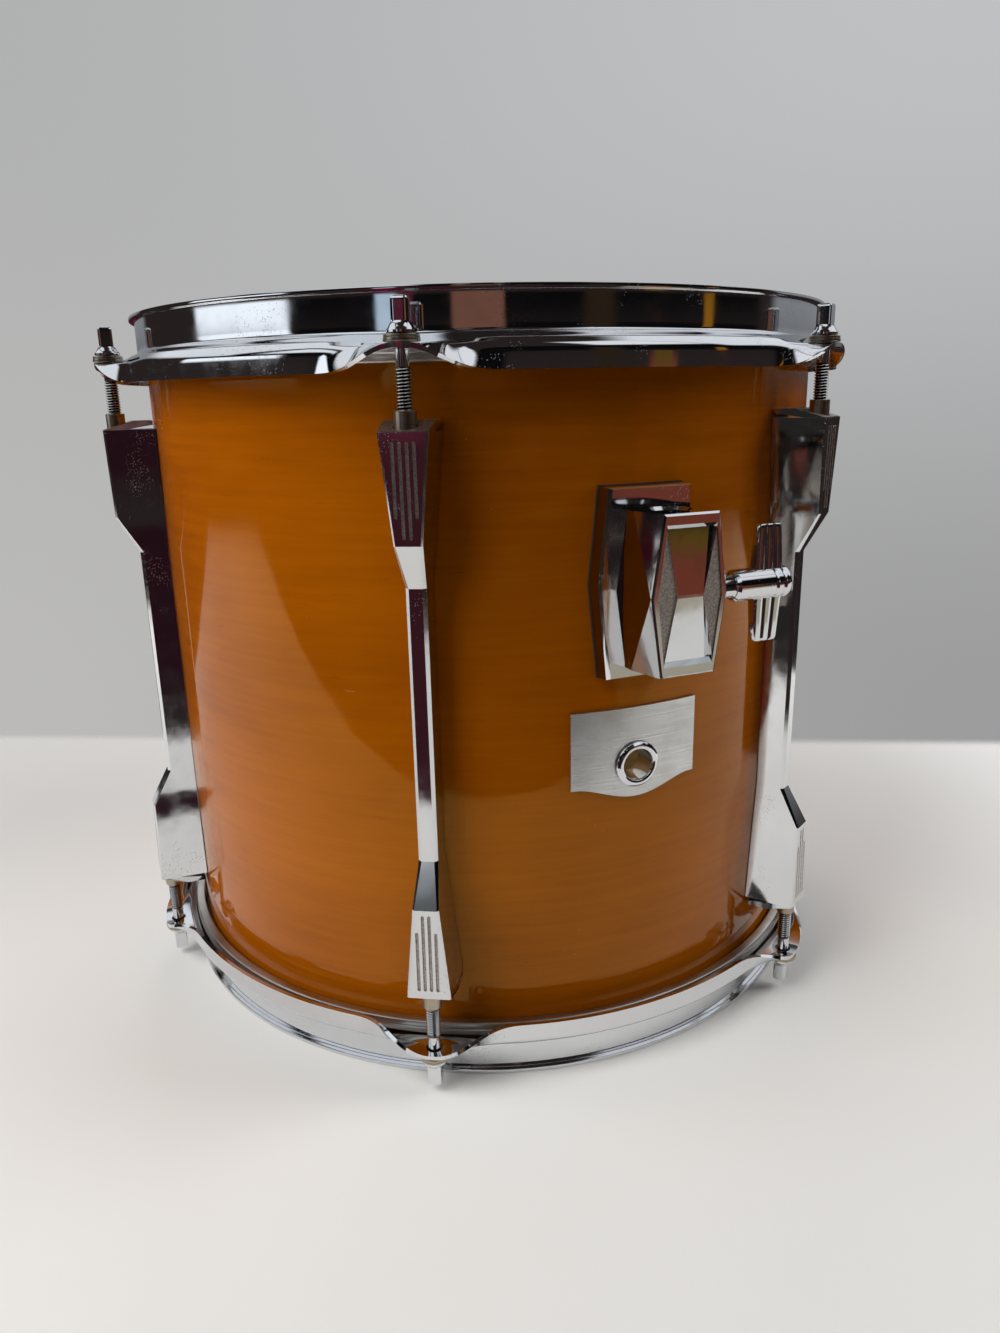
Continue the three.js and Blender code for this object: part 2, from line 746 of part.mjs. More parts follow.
function badgeGeometry() {
  const side = badgeTop - badgeSideHeight;
  const bottom = side - badgeBulge;
  const turn = [badgeHalfWidth - badgeShoulder, side - badgeBulge * badgeTurnShare];
  const flank = badgeHalfWidth - badgeShoulder / 2;
  const belly = badgeHalfWidth * badgeBellyShare;
  const outline = new THREE.Shape();
  outline.moveTo(-badgeHalfWidth, badgeTop);
  outline.lineTo(-badgeHalfWidth, side);
  outline.quadraticCurveTo(-flank, side, -turn[0], turn[1]);
  outline.quadraticCurveTo(-belly, bottom, 0, bottom);
  outline.quadraticCurveTo(belly, bottom, turn[0], turn[1]);
  outline.quadraticCurveTo(flank, side, badgeHalfWidth, side);
  outline.lineTo(badgeHalfWidth, badgeTop);
  const depth = badgeOuterRadius + overrun;
  const blank = new THREE.ExtrudeGeometry(outline, { depth, bevelEnabled: false, curveSegments: 3 });
  const plate = curvedPlate(facingOut(blank), badgeInnerRadius, badgeOuterRadius);
  return cut(plate, ventCutter());
}

function ventGeometry() {
  const seat = badgeOuterRadius + seatGap;
  const lip = shellInnerRadius * Math.cos(Math.PI / ringSegments) - seatGap;
  const ring = turnedRing([
    [ventBarrelRadius, seat],
    [ventBarrelRadius, lip],
    [ventLipRadius, lip],
    [ventLipRadius, lip - ventLipThickness],
    [ventHoleRadius, lip - ventLipThickness],
    [ventHoleRadius, seat + ventFlangeHeight * ventMouthShare],
    [(ventHoleRadius + ventBarrelRadius) / 2, seat + ventFlangeHeight],
    [ventFlangeRadius - ventFlangeHeight, seat + ventFlangeHeight],
    [ventFlangeRadius, seat],
  ].reverse(), ventSegments);
  return facingOut(ring).translate(0, 0, ventHeight);
}

// Assembly

function named(name, geometry, finish) {
  const mesh = new THREE.Mesh(geometry, new THREE.MeshStandardMaterial(finishes[finish]));
  mesh.name = name;
  return mesh;
}

// One end of the drum; the resonant end is the batter end turned over about Y
function headEnd(end, turnedOver) {
  const group = new THREE.Group();
  group.rotation.y = turnedOver ? Math.PI : 0;
  group.add(named(`${end}_head`, filmGeometry(), 'film'));
  group.add(named(`${end}_flesh_hoop`, fleshHoopGeometry(), 'aluminium'));
  group.add(named(`${end}_hoop`, hoopGeometry(), 'chrome'));
  const pieces = [
    ['tension_rod', rodGeometry(), 'chrome'],
    ['rod_washer', washerGeometry(), 'steel'],
    ['swivel_nut', nutGeometry(), 'steel'],
  ];
  lugAngles.forEach((angle, i) => {
    const station = new THREE.Group();
    station.rotation.z = turnedOver ? -angle : angle;
    for (const [kind, geometry, finish] of pieces) {
      const piece = named(`${end}_${kind}_${i + 1}`, geometry, finish);
      piece.position.y = -rodCircleRadius;
      station.add(piece);
    }
    group.add(station);
  });
  return group;
}

function lugs() {
  const geometry = lugGeometry();
  return lugAngles.map((angle, i) => {
    const lug = named(`lug_${i + 1}`, geometry, 'chrome');
    lug.rotation.z = angle;
    return lug;
  });
}

function bracketPieces() {
  const screw = bracketScrewGeometry();
  const screws = [1, -1].map((side, i) => {
    const piece = named(`bracket_screw_${i + 1}`, screw, 'steel');
    piece.position.z = bracketHeight + (side * screwSpacing) / 2;
    return piece;
  });
  return [
    named('tom_bracket', bracketGeometry(), 'chrome'),
    named('bracket_gasket', gasketGeometry(), 'rubber'),
    named('bracket_backing_plate', backingPlateGeometry(), 'steel'),
    ...screws,
    named('clamp_shoe', shoeGeometry(), 'steel'),
    named('wing_bolt', wingBoltGeometry(), 'chrome'),
  ];
}

const rackTom = new THREE.Group();
rackTom.position.z = -playingHeight;
rackTom.add(named('shell', shellGeometry(), 'lacquer'));
rackTom.add(headEnd('batter', false), headEnd('resonant', true));
rackTom.add(...lugs(), ...bracketPieces());
rackTom.add(named('badge', badgeGeometry(), 'badge'));
rackTom.add(named('vent_grommet', ventGeometry(), 'chrome'));

export default rackTom;
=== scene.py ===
"""Rack tom: smooth meshes, procedural materials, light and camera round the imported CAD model.

Lengths are in millimetres. A point is (across, back, up) from the drum's axis and the shell's
middle height; placed() turns it into metres in the CAD model's frame.
"""

from math import cos, hypot, pi, radians, sin, sqrt, tan

import bmesh
import bpy
from mathutils import Matrix, Vector


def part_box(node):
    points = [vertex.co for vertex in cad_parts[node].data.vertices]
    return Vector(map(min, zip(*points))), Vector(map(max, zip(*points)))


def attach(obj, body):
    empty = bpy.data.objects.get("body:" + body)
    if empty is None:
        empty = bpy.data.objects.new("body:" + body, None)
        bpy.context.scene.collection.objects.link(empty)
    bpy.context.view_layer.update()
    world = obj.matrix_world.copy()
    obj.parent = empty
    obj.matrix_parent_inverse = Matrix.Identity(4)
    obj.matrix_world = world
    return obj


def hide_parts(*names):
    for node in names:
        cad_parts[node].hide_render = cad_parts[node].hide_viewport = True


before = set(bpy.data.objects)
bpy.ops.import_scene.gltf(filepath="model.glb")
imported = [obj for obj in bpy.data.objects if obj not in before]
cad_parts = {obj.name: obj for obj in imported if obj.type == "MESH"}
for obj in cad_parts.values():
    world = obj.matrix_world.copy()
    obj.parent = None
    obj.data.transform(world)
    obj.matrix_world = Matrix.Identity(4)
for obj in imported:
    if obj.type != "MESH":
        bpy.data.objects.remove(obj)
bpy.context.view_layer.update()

# Sizes repeated from the part's source
SEAT_GAP = 0.3
RUNNING_CLEARANCE = 0.12
PLAYING_HEIGHT = 140.25
EDGE_HEIGHT = 139.7
RIM_HEIGHT = 149.7
SHELL_RADIUS = 152.4
SHELL_INNER_RADIUS = 145.4
BEARING_INSET = 1.6
COLLAR_RADIUS = 153.15
FILM_THICKNESS = 0.25
FLESH_HOOP_RADII = (153.7, 157.8)
FLESH_HOOP_HEIGHT = 5.6
FILM_HOLD = 3.8
HOOP_SHEET = 1.6
HOOP_WALL_RADIUS = 154.6
HOOP_RIM_RADIUS = 157.6
HOOP_WALL_DEPTH = 14.9
HOOP_SHOULDER = (160.6, 17.2)
HOOP_BEND = (163.1, 19.6)
HOOP_SKIRT_HEIGHT = 8.0
EAR_SHOULDER_RADIUS = 161.1
EAR_DROP = 19.0
EAR_BEND_RADIUS = 166.0
EAR_REACH_RADIUS = 174.0
EAR_FLAT_HALF_WIDTH = 1.0
EAR_FLARE_HALF_WIDTH = 36.0
EAR_FLARE_SHAPE = 1.3
ROD_CIRCLE_RADIUS = 167.5
FLANGE_HEIGHT = 134.3
FLANGE_RADIUS = 5.0
FLANGE_THICKNESS = 1.2
CONE_HEIGHT = 3.6
KEY_HEAD_SIDE = 5.6
KEY_HEAD_HEIGHT = 7.7
ROD_LENGTH = 44.0
SHANK_LENGTH = 10.1
THREAD_RADIUS = 2.775
SHANK_RADIUS = 2.45
THREAD_ROOT_RADIUS = 2.13
THREAD_PITCH = 1.0583
EAR_HOLE_RADIUS = 3.3
WASHER_RADIUS = 6.0
WASHER_THICKNESS = 2.2
WASHER_BOTTOM = 131.8
NUT_RADIUS = 3.8
NUT_TOP = 110.8
NUT_LENGTH = 22.5
LUG_HALF_LENGTH = 104.2
LUG_CASING_FOOT = 67.4
LUG_BAR_END = 51.6
LUG_FRONT_RADIUS = 173.2
LUG_FOOT_RADIUS = 172.5
LUG_BAR_RADIUS = 164.2
LUG_SCREW_HEIGHT = 82.0
BRACKET_HEIGHT = 49.0
BRACKET_SEAT_RADIUS = 154.2
BRACKET_BASE_RADIUS = 160.0
BRACKET_TIER_RADIUS = 167.0
BRACKET_FRONT_RADIUS = 186.0
BLOCK_HALF_HEIGHT = 27.7
FACET_DEPTH = 0.45
ARM_AXIS_RADIUS = 172.0
ARM_BORE_RADIUS = 6.35
ARM_MOUTH_RADIUS = 9.85
CLAMP_DROP = 1.5
POCKET_DEPTH = 9.25
SCREW_OFFSET = 22.0
SCREW_HOLE_RADIUS = 3.2
BADGE_RADII = (152.7, 153.5)
BADGE_HALF_WIDTH = 27.3
BADGE_TOP = 0.6
VENT_HEIGHT = -22.5
VENT_HOLE_RADIUS = 7.05
LUG_ANGLES = [radians(30 + 60 * i) for i in range(6)]

# Facets of a full ring, and metres in a millimetre
RING = 240
MM = 0.001


# Meshes

def placed(point):
    x, y, z = point
    return Vector((x, y, z - PLAYING_HEIGHT)) * MM


def shape_of(name, rows, faces):
    """An object on rows of points in millimetres, with its faces turned outwards."""
    mesh = bpy.data.meshes.new(name)
    mesh.from_pydata([placed(p) for row in rows for p in row], [], faces)
    work = bmesh.new()
    work.from_mesh(mesh)
    bmesh.ops.remove_doubles(work, verts=work.verts, dist=0.002 * MM)
    bmesh.ops.recalc_face_normals(work, faces=work.faces)
    work.to_mesh(mesh)
    work.free()
    return object_of(mesh)


def object_of(data, name=None):
    obj = bpy.data.objects.new(name or data.name, data)
    bpy.context.scene.collection.objects.link(obj)
    return obj


def applied(obj):
    """Bakes the object's modifiers into its mesh."""
    bpy.context.view_layer.update()
    graph = bpy.context.evaluated_depsgraph_get()
    mesh = bpy.data.meshes.new_from_object(obj.evaluated_get(graph))
    old = obj.data
    obj.modifiers.clear()
    obj.data = mesh
    mesh.name = obj.name
    bpy.data.meshes.remove(old)
    return obj


def joined(obj, others):
    combined(obj, "UNION", others)


def cut(obj, others):
    combined(obj, "DIFFERENCE", others)


def combined(obj, operation, others):
    """Joins others to obj, or cuts them out of it, and removes them."""
    for other in others:
        step = obj.modifiers.new("combine", "BOOLEAN")
        step.operation = operation
        step.solver = "EXACT"
        step.object = other
    applied(obj)
    for other in others:
        bpy.data.objects.remove(other)


def bevelled(obj, width, segments=2, angle=40):
    step = obj.modifiers.new("bevel", "BEVEL")
    step.width = width * MM
    step.segments = segments
    step.limit_method = "ANGLE"
    step.angle_limit = radians(angle)
    step.harden_normals = True
    smooth(obj.data)
    applied(obj)


def smooth(mesh, angle=30):
    mesh.shade_smooth()
    mesh.set_sharp_from_angle(angle=radians(angle))


def crisp(obj, angle=38, ridge=6, broad=4.0):
    """Shades rounded edges smoothly and leaves broad faces flat right up to them."""
    work = bmesh.new()
    work.from_mesh(obj.data)
    for face in work.faces:
        face.smooth = True
    for edge in work.edges:
        if len(edge.link_faces) == 2:
            both_broad = min(face.calc_area() for face in edge.link_faces) > broad * MM * MM
            edge.smooth = edge.calc_face_angle(0) < radians(ridge if both_broad else angle)
    work.to_mesh(obj.data)
    work.free()
    step = obj.modifiers.new("normals", "WEIGHTED_NORMAL")
    step.keep_sharp = True
    return applied(obj)


def grid_faces(rows, across, closed_rows=False, closed_across=True):
    """Quads over rows of points that lie one after another in the list of points."""
    faces = []
    for i in range(rows if closed_rows else rows - 1):
        row, following = i * across, (i + 1) % rows * across
        for j in range(across if closed_across else across - 1):
            k = (j + 1) % across
            faces.append((row + j, row + k, following + k, following + j))
    return faces


def skin(name, rows, closed=False):
    """A closed skin over loops of points; open ends get one face each."""
    across = len(rows[0])
    faces = grid_faces(len(rows), across, closed_rows=closed)
    if not closed:
        last = (len(rows) - 1) * across
        faces += [tuple(range(across)), tuple(range(last, last + across))]
    return shape_of(name, rows, faces)


def lathe(name, profile, segments=RING, axis="Z", centre=(0, 0, 0), closed=True):
    """A profile of (radius, along) points turned about an axis; closed profiles make rings."""
    rows = []
    for k in range(segments):
        turn = 2 * pi * k / segments
        rows.append([turned_point(r, along, turn, axis, centre) for r, along in profile])
    faces = grid_faces(segments, len(profile), closed_rows=True, closed_across=closed)
    return shape_of(name, rows, faces)


def turned_point(radius, along, turn, axis, centre):
    a, b = radius * cos(turn), radius * sin(turn)
    x, y, z = {"Z": (a, b, along), "-Y": (a, -along, b), "X": (along, a, b)}[axis]
    return (centre[0] + x, centre[1] + y, centre[2] + z)


def hull(name, corners):
    """The convex solid on its corners."""
    work = bmesh.new()
    for corner in corners:
        work.verts.new(placed(corner))
    bmesh.ops.convex_hull(work, input=work.verts)
    bmesh.ops.dissolve_limit(work, angle_limit=radians(0.5), verts=work.verts, edges=work.edges)
    loose = [v for v in work.verts if not v.link_faces]
    bmesh.ops.delete(work, geom=loose, context="VERTS")
    mesh = bpy.data.meshes.new(name)
    work.to_mesh(mesh)
    work.free()
    return object_of(mesh)


def mirrored(corners):
    """Corners as (across, out, up), mirrored left and right, with out along -Y."""
    return [(side * across, -out, up) for across, out, up in corners for side in (1, -1)]


def rounded(path, radii, steps=6):
    """A path of 2-D points whose inner corners are rounded to the given radii."""
    points = [Vector(path[0])]
    for i in range(1, len(path) - 1):
        corner = Vector(path[i])
        back, ahead = Vector(path[i - 1]) - corner, Vector(path[i + 1]) - corner
        half = max(back.angle(ahead) / 2, 0.02)
        leg = min(back.length, ahead.length)
        reach = min(max(radii[i - 1] / tan(half), 0.05 * leg), 0.48 * leg)
        start, end = corner + back.normalized() * reach, corner + ahead.normalized() * reach
        for k in range(steps + 1):
            t = k / steps
            points.append((1 - t) ** 2 * start + 2 * t * (1 - t) * corner + t * t * end)
    points.append(Vector(path[-1]))
    return points


def held(points, steps=6):
    """Adds points near both ends of a rounded path's straight legs, so that they shade flat."""
    kept = []
    for i in range(0, len(points), steps + 1):
        a, b = points[i], points[i + 1]
        kept += [a, a + 0.12 * (b - a), b + 0.12 * (a - b)]
        kept += points[i + 1:i + steps + 1]
    return kept + [points[-1]]


def sheet_outline(middle, thickness, cap_steps=7):
    """The outline of a sheet round its middle line, with rounded ends."""
    left, right = [], []
    for i, point in enumerate(middle):
        along = (middle[min(i + 1, len(middle) - 1)] - middle[max(i - 1, 0)]).normalized()
        side = Vector((-along.y, along.x)) * thickness / 2
        left.append(point + side)
        right.append(point - side)
    outline = list(left)
    outline += end_cap(middle[-1], left[-1] - middle[-1], cap_steps)
    outline += right[::-1]
    outline += end_cap(middle[0], right[0] - middle[0], cap_steps)
    return outline


def end_cap(centre, arm, steps):
    """Points of the sheet's edge, a half square with soft corners, from centre + arm clockwise."""
    points = []
    for k in range(1, steps + 1):
        turn = pi * k / (steps + 1)
        points.append(centre + Matrix.Rotation(-turn, 2) @ arm * square_radius(turn, 1, 5))
    return points


def turned_ring(name, path, radii, steps, metal, segments=RING, axis="Z", centre=(0, 0, 0)):
    """A ring turned from a path with rounded corners that ends where it starts."""
    ring = lathe(name, rounded(path, radii, steps)[:-1], segments, axis, centre)
    smooth(ring.data)
    return finished(ring, metal)


def finished(obj, *materials):
    for one in materials:
        obj.data.materials.append(one)
    return obj


def dress(obj, body, slot, *nodes):
    """Puts a piece on its body and hides the CAD nodes that it stands for; slot, its finish, is
    not used.
    """
    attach(obj, body)
    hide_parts(*nodes)


# Materials. The helpers that take a socket add their nodes to its tree.

def node(tree, kind, inputs=None, **settings):
    """Adds a node; an input is a value or another node's output."""
    new = tree.nodes.new(kind)
    for key, value in settings.items():
        setattr(new, key, value)
    for key, value in (inputs or {}).items():
        if isinstance(value, bpy.types.NodeSocket):
            tree.links.new(value, new.inputs[key])
        else:
            new.inputs[key].default_value = value
    return new


def material(name, build):
    """A material with the shader inputs that build(place) gives, place being a point's socket;
    "Hidden" is the share that lets light through."""
    made = bpy.data.materials.new(name)
    made.use_nodes = True
    tree = made.node_tree
    tree.nodes.clear()
    inputs = build(node(tree, "ShaderNodeTexCoord").outputs["Object"])
    hidden = inputs.pop("Hidden", None)
    surface = node(tree, "ShaderNodeBsdfPrincipled", inputs).outputs[0]
    if hidden:
        clear = node(tree, "ShaderNodeBsdfTransparent").outputs[0]
        surface = mixed_shaders(hidden, surface, clear)
    node(tree, "ShaderNodeOutputMaterial", {"Surface": surface})
    return made


def mixed_shaders(share, first, second):
    inputs = {0: share, 1: first, 2: second}
    return node(share.id_data, "ShaderNodeMixShader", inputs).outputs[0]


def stretched(place, scale):
    inputs = {"Vector": place, "Scale": scale}
    return node(place.id_data, "ShaderNodeMapping", inputs).outputs["Vector"]


def noise(place, scale, detail=3.0, roughness=0.55):
    inputs = {"Vector": place, "Scale": scale, "Detail": detail, "Roughness": roughness}
    return node(place.id_data, "ShaderNodeTexNoise", inputs).outputs["Fac"]


def coordinates(place):
    return node(place.id_data, "ShaderNodeSeparateXYZ", {"Vector": place}).outputs


def cells(place, scale):
    """The distance from the nearest of many scattered points."""
    inputs = {"Vector": place, "Scale": scale}
    return node(place.id_data, "ShaderNodeTexVoronoi", inputs).outputs["Distance"]


def ramp(value, low, high, start=0.0, end=1.0):
    """value from low..high to start..end, with soft ends."""
    inputs = {"Value": value, "From Min": low, "From Max": high, "To Min": start, "To Max": end}
    made = node(value.id_data, "ShaderNodeMapRange", inputs, interpolation_type="SMOOTHSTEP")
    return made.outputs["Result"]


def maths(operation, first, second=0.0, third=0.0):
    inputs = {0: first, 1: second, 2: third}
    return node(first.id_data, "ShaderNodeMath", inputs, operation=operation).outputs[0]


def times(first, second):
    return maths("MULTIPLY", first, second)


def mixed(share, *colours):
    """A colour between two colours, each of them three numbers or another node's output."""
    first, second = [colour if isinstance(colour, bpy.types.NodeSocket) else (*colour, 1)
                     for colour in colours]
    inputs = {0: share, 6: first, 7: second}
    return node(share.id_data, "ShaderNodeMix", inputs, data_type="RGBA").outputs[2]


def bump(height, depth):
    inputs = {"Height": height, "Distance": depth}
    return node(height.id_data, "ShaderNodeBump", inputs).outputs["Normal"]


def pits(place, cover):
    """1 in small round pits that gather in patches, and 0 between them."""
    spots = ramp(cells(place, 1150), 0.20, 0.10)
    return times(spots, ramp(noise(place, 45), 0.68 - cover, 0.8 - cover))


def plated(colour, roughness, pitting, waviness):
    """Bright metal with fine dirty pits, faint waviness and uneven gloss."""
    def build(place):
        spots = pits(place, pitting)
        haze = noise(place, 120)
        clouded = mixed(times(haze, 0.35), colour, [0.86 * c for c in colour])
        gloss = ramp(haze, 0.35, 0.75, roughness * 0.7, roughness * 1.6)
        waves = times(noise(place, 70, 1.0), waviness)
        return {
            "Base Color": mixed(spots, clouded, (0.16, 0.13, 0.10)),
            "Roughness": maths("MULTIPLY_ADD", spots, 0.3, gloss),
            "Normal": bump(maths("MULTIPLY_ADD", spots, -0.06, waves), MM),
            "Metallic": 1,
        }
    return build


def threaded(place):
    """Chrome with painted shade, nearly black, in the thread's roots."""
    inputs = plated((0.74, 0.75, 0.77), 0.06, 0.10, 0.03)(place)
    x, y, z = coordinates(place)
    inwards = maths("ADD", y, ROD_CIRCLE_RADIUS * MM)
    squares = maths("MULTIPLY_ADD", x, x, times(inwards, inwards))
    root = ramp(maths("SQRT", squares), 2.62 * MM, 2.3 * MM)
    thread_end = (FLANGE_HEIGHT - SHANK_LENGTH - PLAYING_HEIGHT) * MM
    below = ramp(z, thread_end + 0.1 * MM, thread_end - 0.3 * MM)
    # Painted shade: the roots of the thread below the shank turn nearly black.
    root_painted_shade = times(root, below)
    inputs["Base Color"] = mixed(root_painted_shade, inputs["Base Color"], (0.05, 0.04, 0.032))
    return inputs


def satin_cast(place):
    """The grainy facets of the bracket's front, and the unpolished parts of the lugs."""
    grains = noise(place, 1500, 2.0)
    share = ramp(grains, 0.3, 0.7)
    return {
        "Base Color": mixed(share, (0.36, 0.32, 0.28), (0.62, 0.58, 0.54)),
        "Roughness": 0.5,
        "Normal": bump(grains, 0.12 * MM),
        "Metallic": 1,
    }


def lacquer(place):
    """Amber lacquer over bent wood: level grain, slow cloudiness, specks and fine scratches."""
    grain = noise(stretched(place, (9, 9, 190)), 1.6, 6.0, 0.65)
    clouds = noise(stretched(place, (7, 7, 16)), 1.0, 3.0)
    flecks = noise(stretched(place, (60, 60, 900)), 1.0, 2.0)
    cloudy = ramp(clouds, 0.3, 0.7, 0, 0.6)
    tone = maths("ADD", cloudy, ramp(grain, 0.3, 0.7, 0, 0.3))
    amber = mixed(tone, (0.255, 0.058, 0.0004), (0.400, 0.101, 0.0008))
    grained = mixed(ramp(flecks, 0.66, 0.8, 0, 0.35), amber, (0.12, 0.022, 0.0004))
    ripple = noise(stretched(place, (14, 14, 40)), 1.0, 2.0)
    return {
        "Base Color": mixed(worn_specks(place), grained, (0.46, 0.22, 0.07)),
        "Roughness": ramp(noise(place, 28, 4.0), 0.35, 0.75, 0.045, 0.10),
        "Normal": bump(ripple, 0.12 * MM),
        "Specular IOR Level": 0.6,
        "Specular Tint": (1.0, 0.62, 0.16, 1),
    }


def worn_specks(place):
    """Sparse pale specks, and short scratches that lie nearly level."""
    dots = ramp(cells(place, 210), 0.10, 0.05)
    sparse = ramp(noise(place, 31), 0.60, 0.66)
    lines = ramp(cells(stretched(place, (26, 26, 420)), 1), 0.09, 0.05)
    rare = ramp(noise(place, 19), 0.66, 0.70)
    marks = maths("MAXIMUM", times(dots, sparse), times(lines, rare))
    return times(marks, 0.5)


def bare_wood(place):
    """The shell's inside and bearing edges."""
    grain = noise(stretched(place, (12, 12, 260)), 1.5, 7.0, 0.7)
    clouds = noise(stretched(place, (10, 10, 30)), 1.0)
    cloudy = ramp(clouds, 0.3, 0.7, 0, 0.3)
    tone = maths("ADD", ramp(grain, 0.3, 0.72, 0, 0.7), cloudy)
    return {
        "Base Color": mixed(tone, (0.50, 0.30, 0.12), (0.78, 0.53, 0.26)),
        "Roughness": ramp(grain, 0.2, 0.8, 0.45, 0.65),
        "Normal": bump(grain, 0.15 * MM),
    }


def coated_film(place):
    """White coating sprayed on film, a little worn."""
    spray = noise(place, 1400, 3.0)
    worn = ramp(noise(place, 22, 4.0), 0.35, 0.75)
    return {
        "Base Color": mixed(worn, (0.80, 0.79, 0.76), (0.72, 0.71, 0.67)),
        "Roughness": ramp(spray, 0.3, 0.7, 0.5, 0.75),
        "Normal": bump(spray, 0.06 * MM),
        "Transmission Weight": 0.75,
    }


def clear_film(place):
    """Clear film with a faint haze."""
    return {
        "Base Color": (0.93, 0.94, 0.94, 1),
        "Roughness": ramp(noise(place, 30, 4.0), 0.3, 0.7, 0.05, 0.14),
        "Transmission Weight": 0.94,
        "IOR": 1.2,
    }


def brushed(colour, roughness):
    """Metal drawn round the drum: level brush marks and stains."""
    def build(place):
        marks = noise(stretched(place, (30, 30, 2500)), 1.0, 3.0)
        shade = times(ramp(noise(place, 60, 4.0), 0.4, 0.75), 0.5)
        stained = [share * c for share, c in zip((0.62, 0.57, 0.5), colour)]
        return {
            "Base Color": mixed(shade, colour, stained),
            "Roughness": ramp(marks, 0.2, 0.8, roughness * 0.7, roughness * 1.3),
            "Normal": bump(marks, 0.012 * MM),
            "Metallic": 1,
        }
    return build


def rubber(place):
    grains = noise(place, 1800, 2.0)
    return {
        "Base Color": mixed(grains, (0.020, 0.013, 0.008), (0.060, 0.036, 0.018)),
        "Roughness": ramp(grains, 0.3, 0.7, 0.6, 0.85),
        "Normal": bump(grains, 0.05 * MM),
    }


LACQUER = material("amber_lacquer", lacquer)
WOOD = material("bare_wood", bare_wood)
CHROME = material("chromed_steel", plated((0.74, 0.75, 0.77), 0.06, 0.14, 0.03))
THREADED = material("chromed_rod", threaded)
CASTING = material("chromed_casting", plated((0.72, 0.73, 0.74), 0.075, 0.12, 0.06))
# A darker copy of the chrome casting: painted shade for the bracket's side faces.
SIDE_SHADED_CASTING = material("casting_painted_shade", plated((0.30, 0.27, 0.25), 0.09, 0.12, 0.06))
SATIN = material("satin_casting", satin_cast)
STEEL = material("plain_steel", brushed((0.46, 0.40, 0.31), 0.32))
ALUMINIUM = material("aluminium", brushed((0.62, 0.61, 0.58), 0.4))
BADGE = material("badge_plate", brushed((0.70, 0.71, 0.71), 0.34))
COATED = material("coated_film", coated_film)
CLEAR = material("clear_film", clear_film)
RUBBER = material("gasket_rubber", rubber)


# Shell

def shell():
    inner, outer, edge = SHELL_INNER_RADIUS, SHELL_RADIUS, EDGE_HEIGHT
    bevel = outer - inner - BEARING_INSET
    peak, flank = outer - BEARING_INSET, edge - BEARING_INSET
    corners = [
        (inner, 0), (inner, bevel - edge), (peak, -edge), (outer, -flank),
        (outer, VENT_HEIGHT - 11), (outer, VENT_HEIGHT + 11), (outer, 18), (outer, 80),
        (outer, flank), (peak, edge), (inner, edge - bevel), (inner, 0),
    ]
    profile = rounded(corners, [2, 0.5, 2.5, 0, 0, 0, 0, 2.5, 0.5, 2])
    body = finished(lathe("shell_wood", profile[:-1]), LACQUER, WOOD)
    for face in body.data.polygons:
        outside = hypot(face.center.x, face.center.y) > (outer - 0.8) * MM
        face.material_index = 0 if outside else 1
    cut(body, [shell_hole(VENT_HEIGHT, VENT_HOLE_RADIUS), *screw_holes()])
    smooth(body.data)
    dress(body, "drum", "lacquered_wood", "shell")


def shell_hole(height, radius, segments=64):
    reach = SHELL_INNER_RADIUS - 6, SHELL_RADIUS + 6
    return cylinder("hole", radius, *reach, "-Y", (0, 0, height), segments)


def screw_holes(segments=64):
    """Cutters for the bracket's two screws."""
    return [shell_hole(BRACKET_HEIGHT + side * SCREW_OFFSET, SCREW_HOLE_RADIUS, segments)
            for side in (-1, 1)]


def cylinder(name, radius, start, end, axis="Z", centre=(0, 0, 0), segments=64):
    profile = [(0, start), (radius, start), (radius, end), (0, end)]
    return lathe(name, profile, segments, axis, centre, closed=False)


# Heads and hoops, drawn for the upper end

FLESH_HOOP_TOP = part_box("batter_flesh_hoop")[1].z / MM + PLAYING_HEIGHT


def film(end, made_of, slot, upside_down):
    flat = PLAYING_HEIGHT - FILM_THICKNESS / 2
    collar = COLLAR_RADIUS - FILM_THICKNESS / 2
    path = [(0, flat), (70, flat), (130, flat), (collar, flat),
            (collar, FLESH_HOOP_TOP - FILM_HOLD)]
    middle = rounded(path, [0, 0, 2.6], 8)
    outline = sheet_outline(middle, FILM_THICKNESS, 3)[:-3]
    body = finished(lathe(f"{end}_film", outline, closed=False), made_of)
    smooth(body.data)
    placed_end(body, f"{end}_film_piece", "drum", slot, f"{end}_head", 0, upside_down)
    bpy.data.objects.remove(body)


def placed_end(shape, name, body, slot, stands_for, angle, upside_down):
    """A copy of a shape drawn for the upper end, at its angle round the drum, and turned over
    about Y where it is for the lower end."""
    copy = object_of(shape.data, name)
    middle = Matrix.Translation((0, 0, -PLAYING_HEIGHT * MM))
    over = middle @ Matrix.Rotation(pi, 4, "Y") @ middle.inverted() if upside_down else Matrix()
    copy.matrix_world = over @ Matrix.Rotation(-angle if upside_down else angle, 4, "Z")
    dress(copy, body, slot, stands_for)


def flesh_hoop_shape():
    top, bottom = FLESH_HOOP_TOP, FLESH_HOOP_TOP - FLESH_HOOP_HEIGHT
    inner, outer = FLESH_HOOP_RADII
    middle = (bottom + top) / 2
    path = [
        (inner, middle), (inner, bottom), (outer, bottom), (outer, middle - 0.5),
        (outer - 0.35, middle), (outer, middle + 0.5), (outer, top), (inner, top), (inner, middle),
    ]
    return turned_ring("flesh_hoop", path, [0.7, 0.9, 0.2, 0.2, 0.2, 0.9, 0.7], 4, ALUMINIUM)


def ear_share(distance):
    """How far the skirt has turned out into the ear: 1 at the rod, 0 past the flare."""
    run = (distance - EAR_FLAT_HALF_WIDTH) / (EAR_FLARE_HALF_WIDTH - EAR_FLAT_HALF_WIDTH)
    return ((1 + cos(pi * min(max(run, 0), 1))) / 2) ** EAR_FLARE_SHAPE


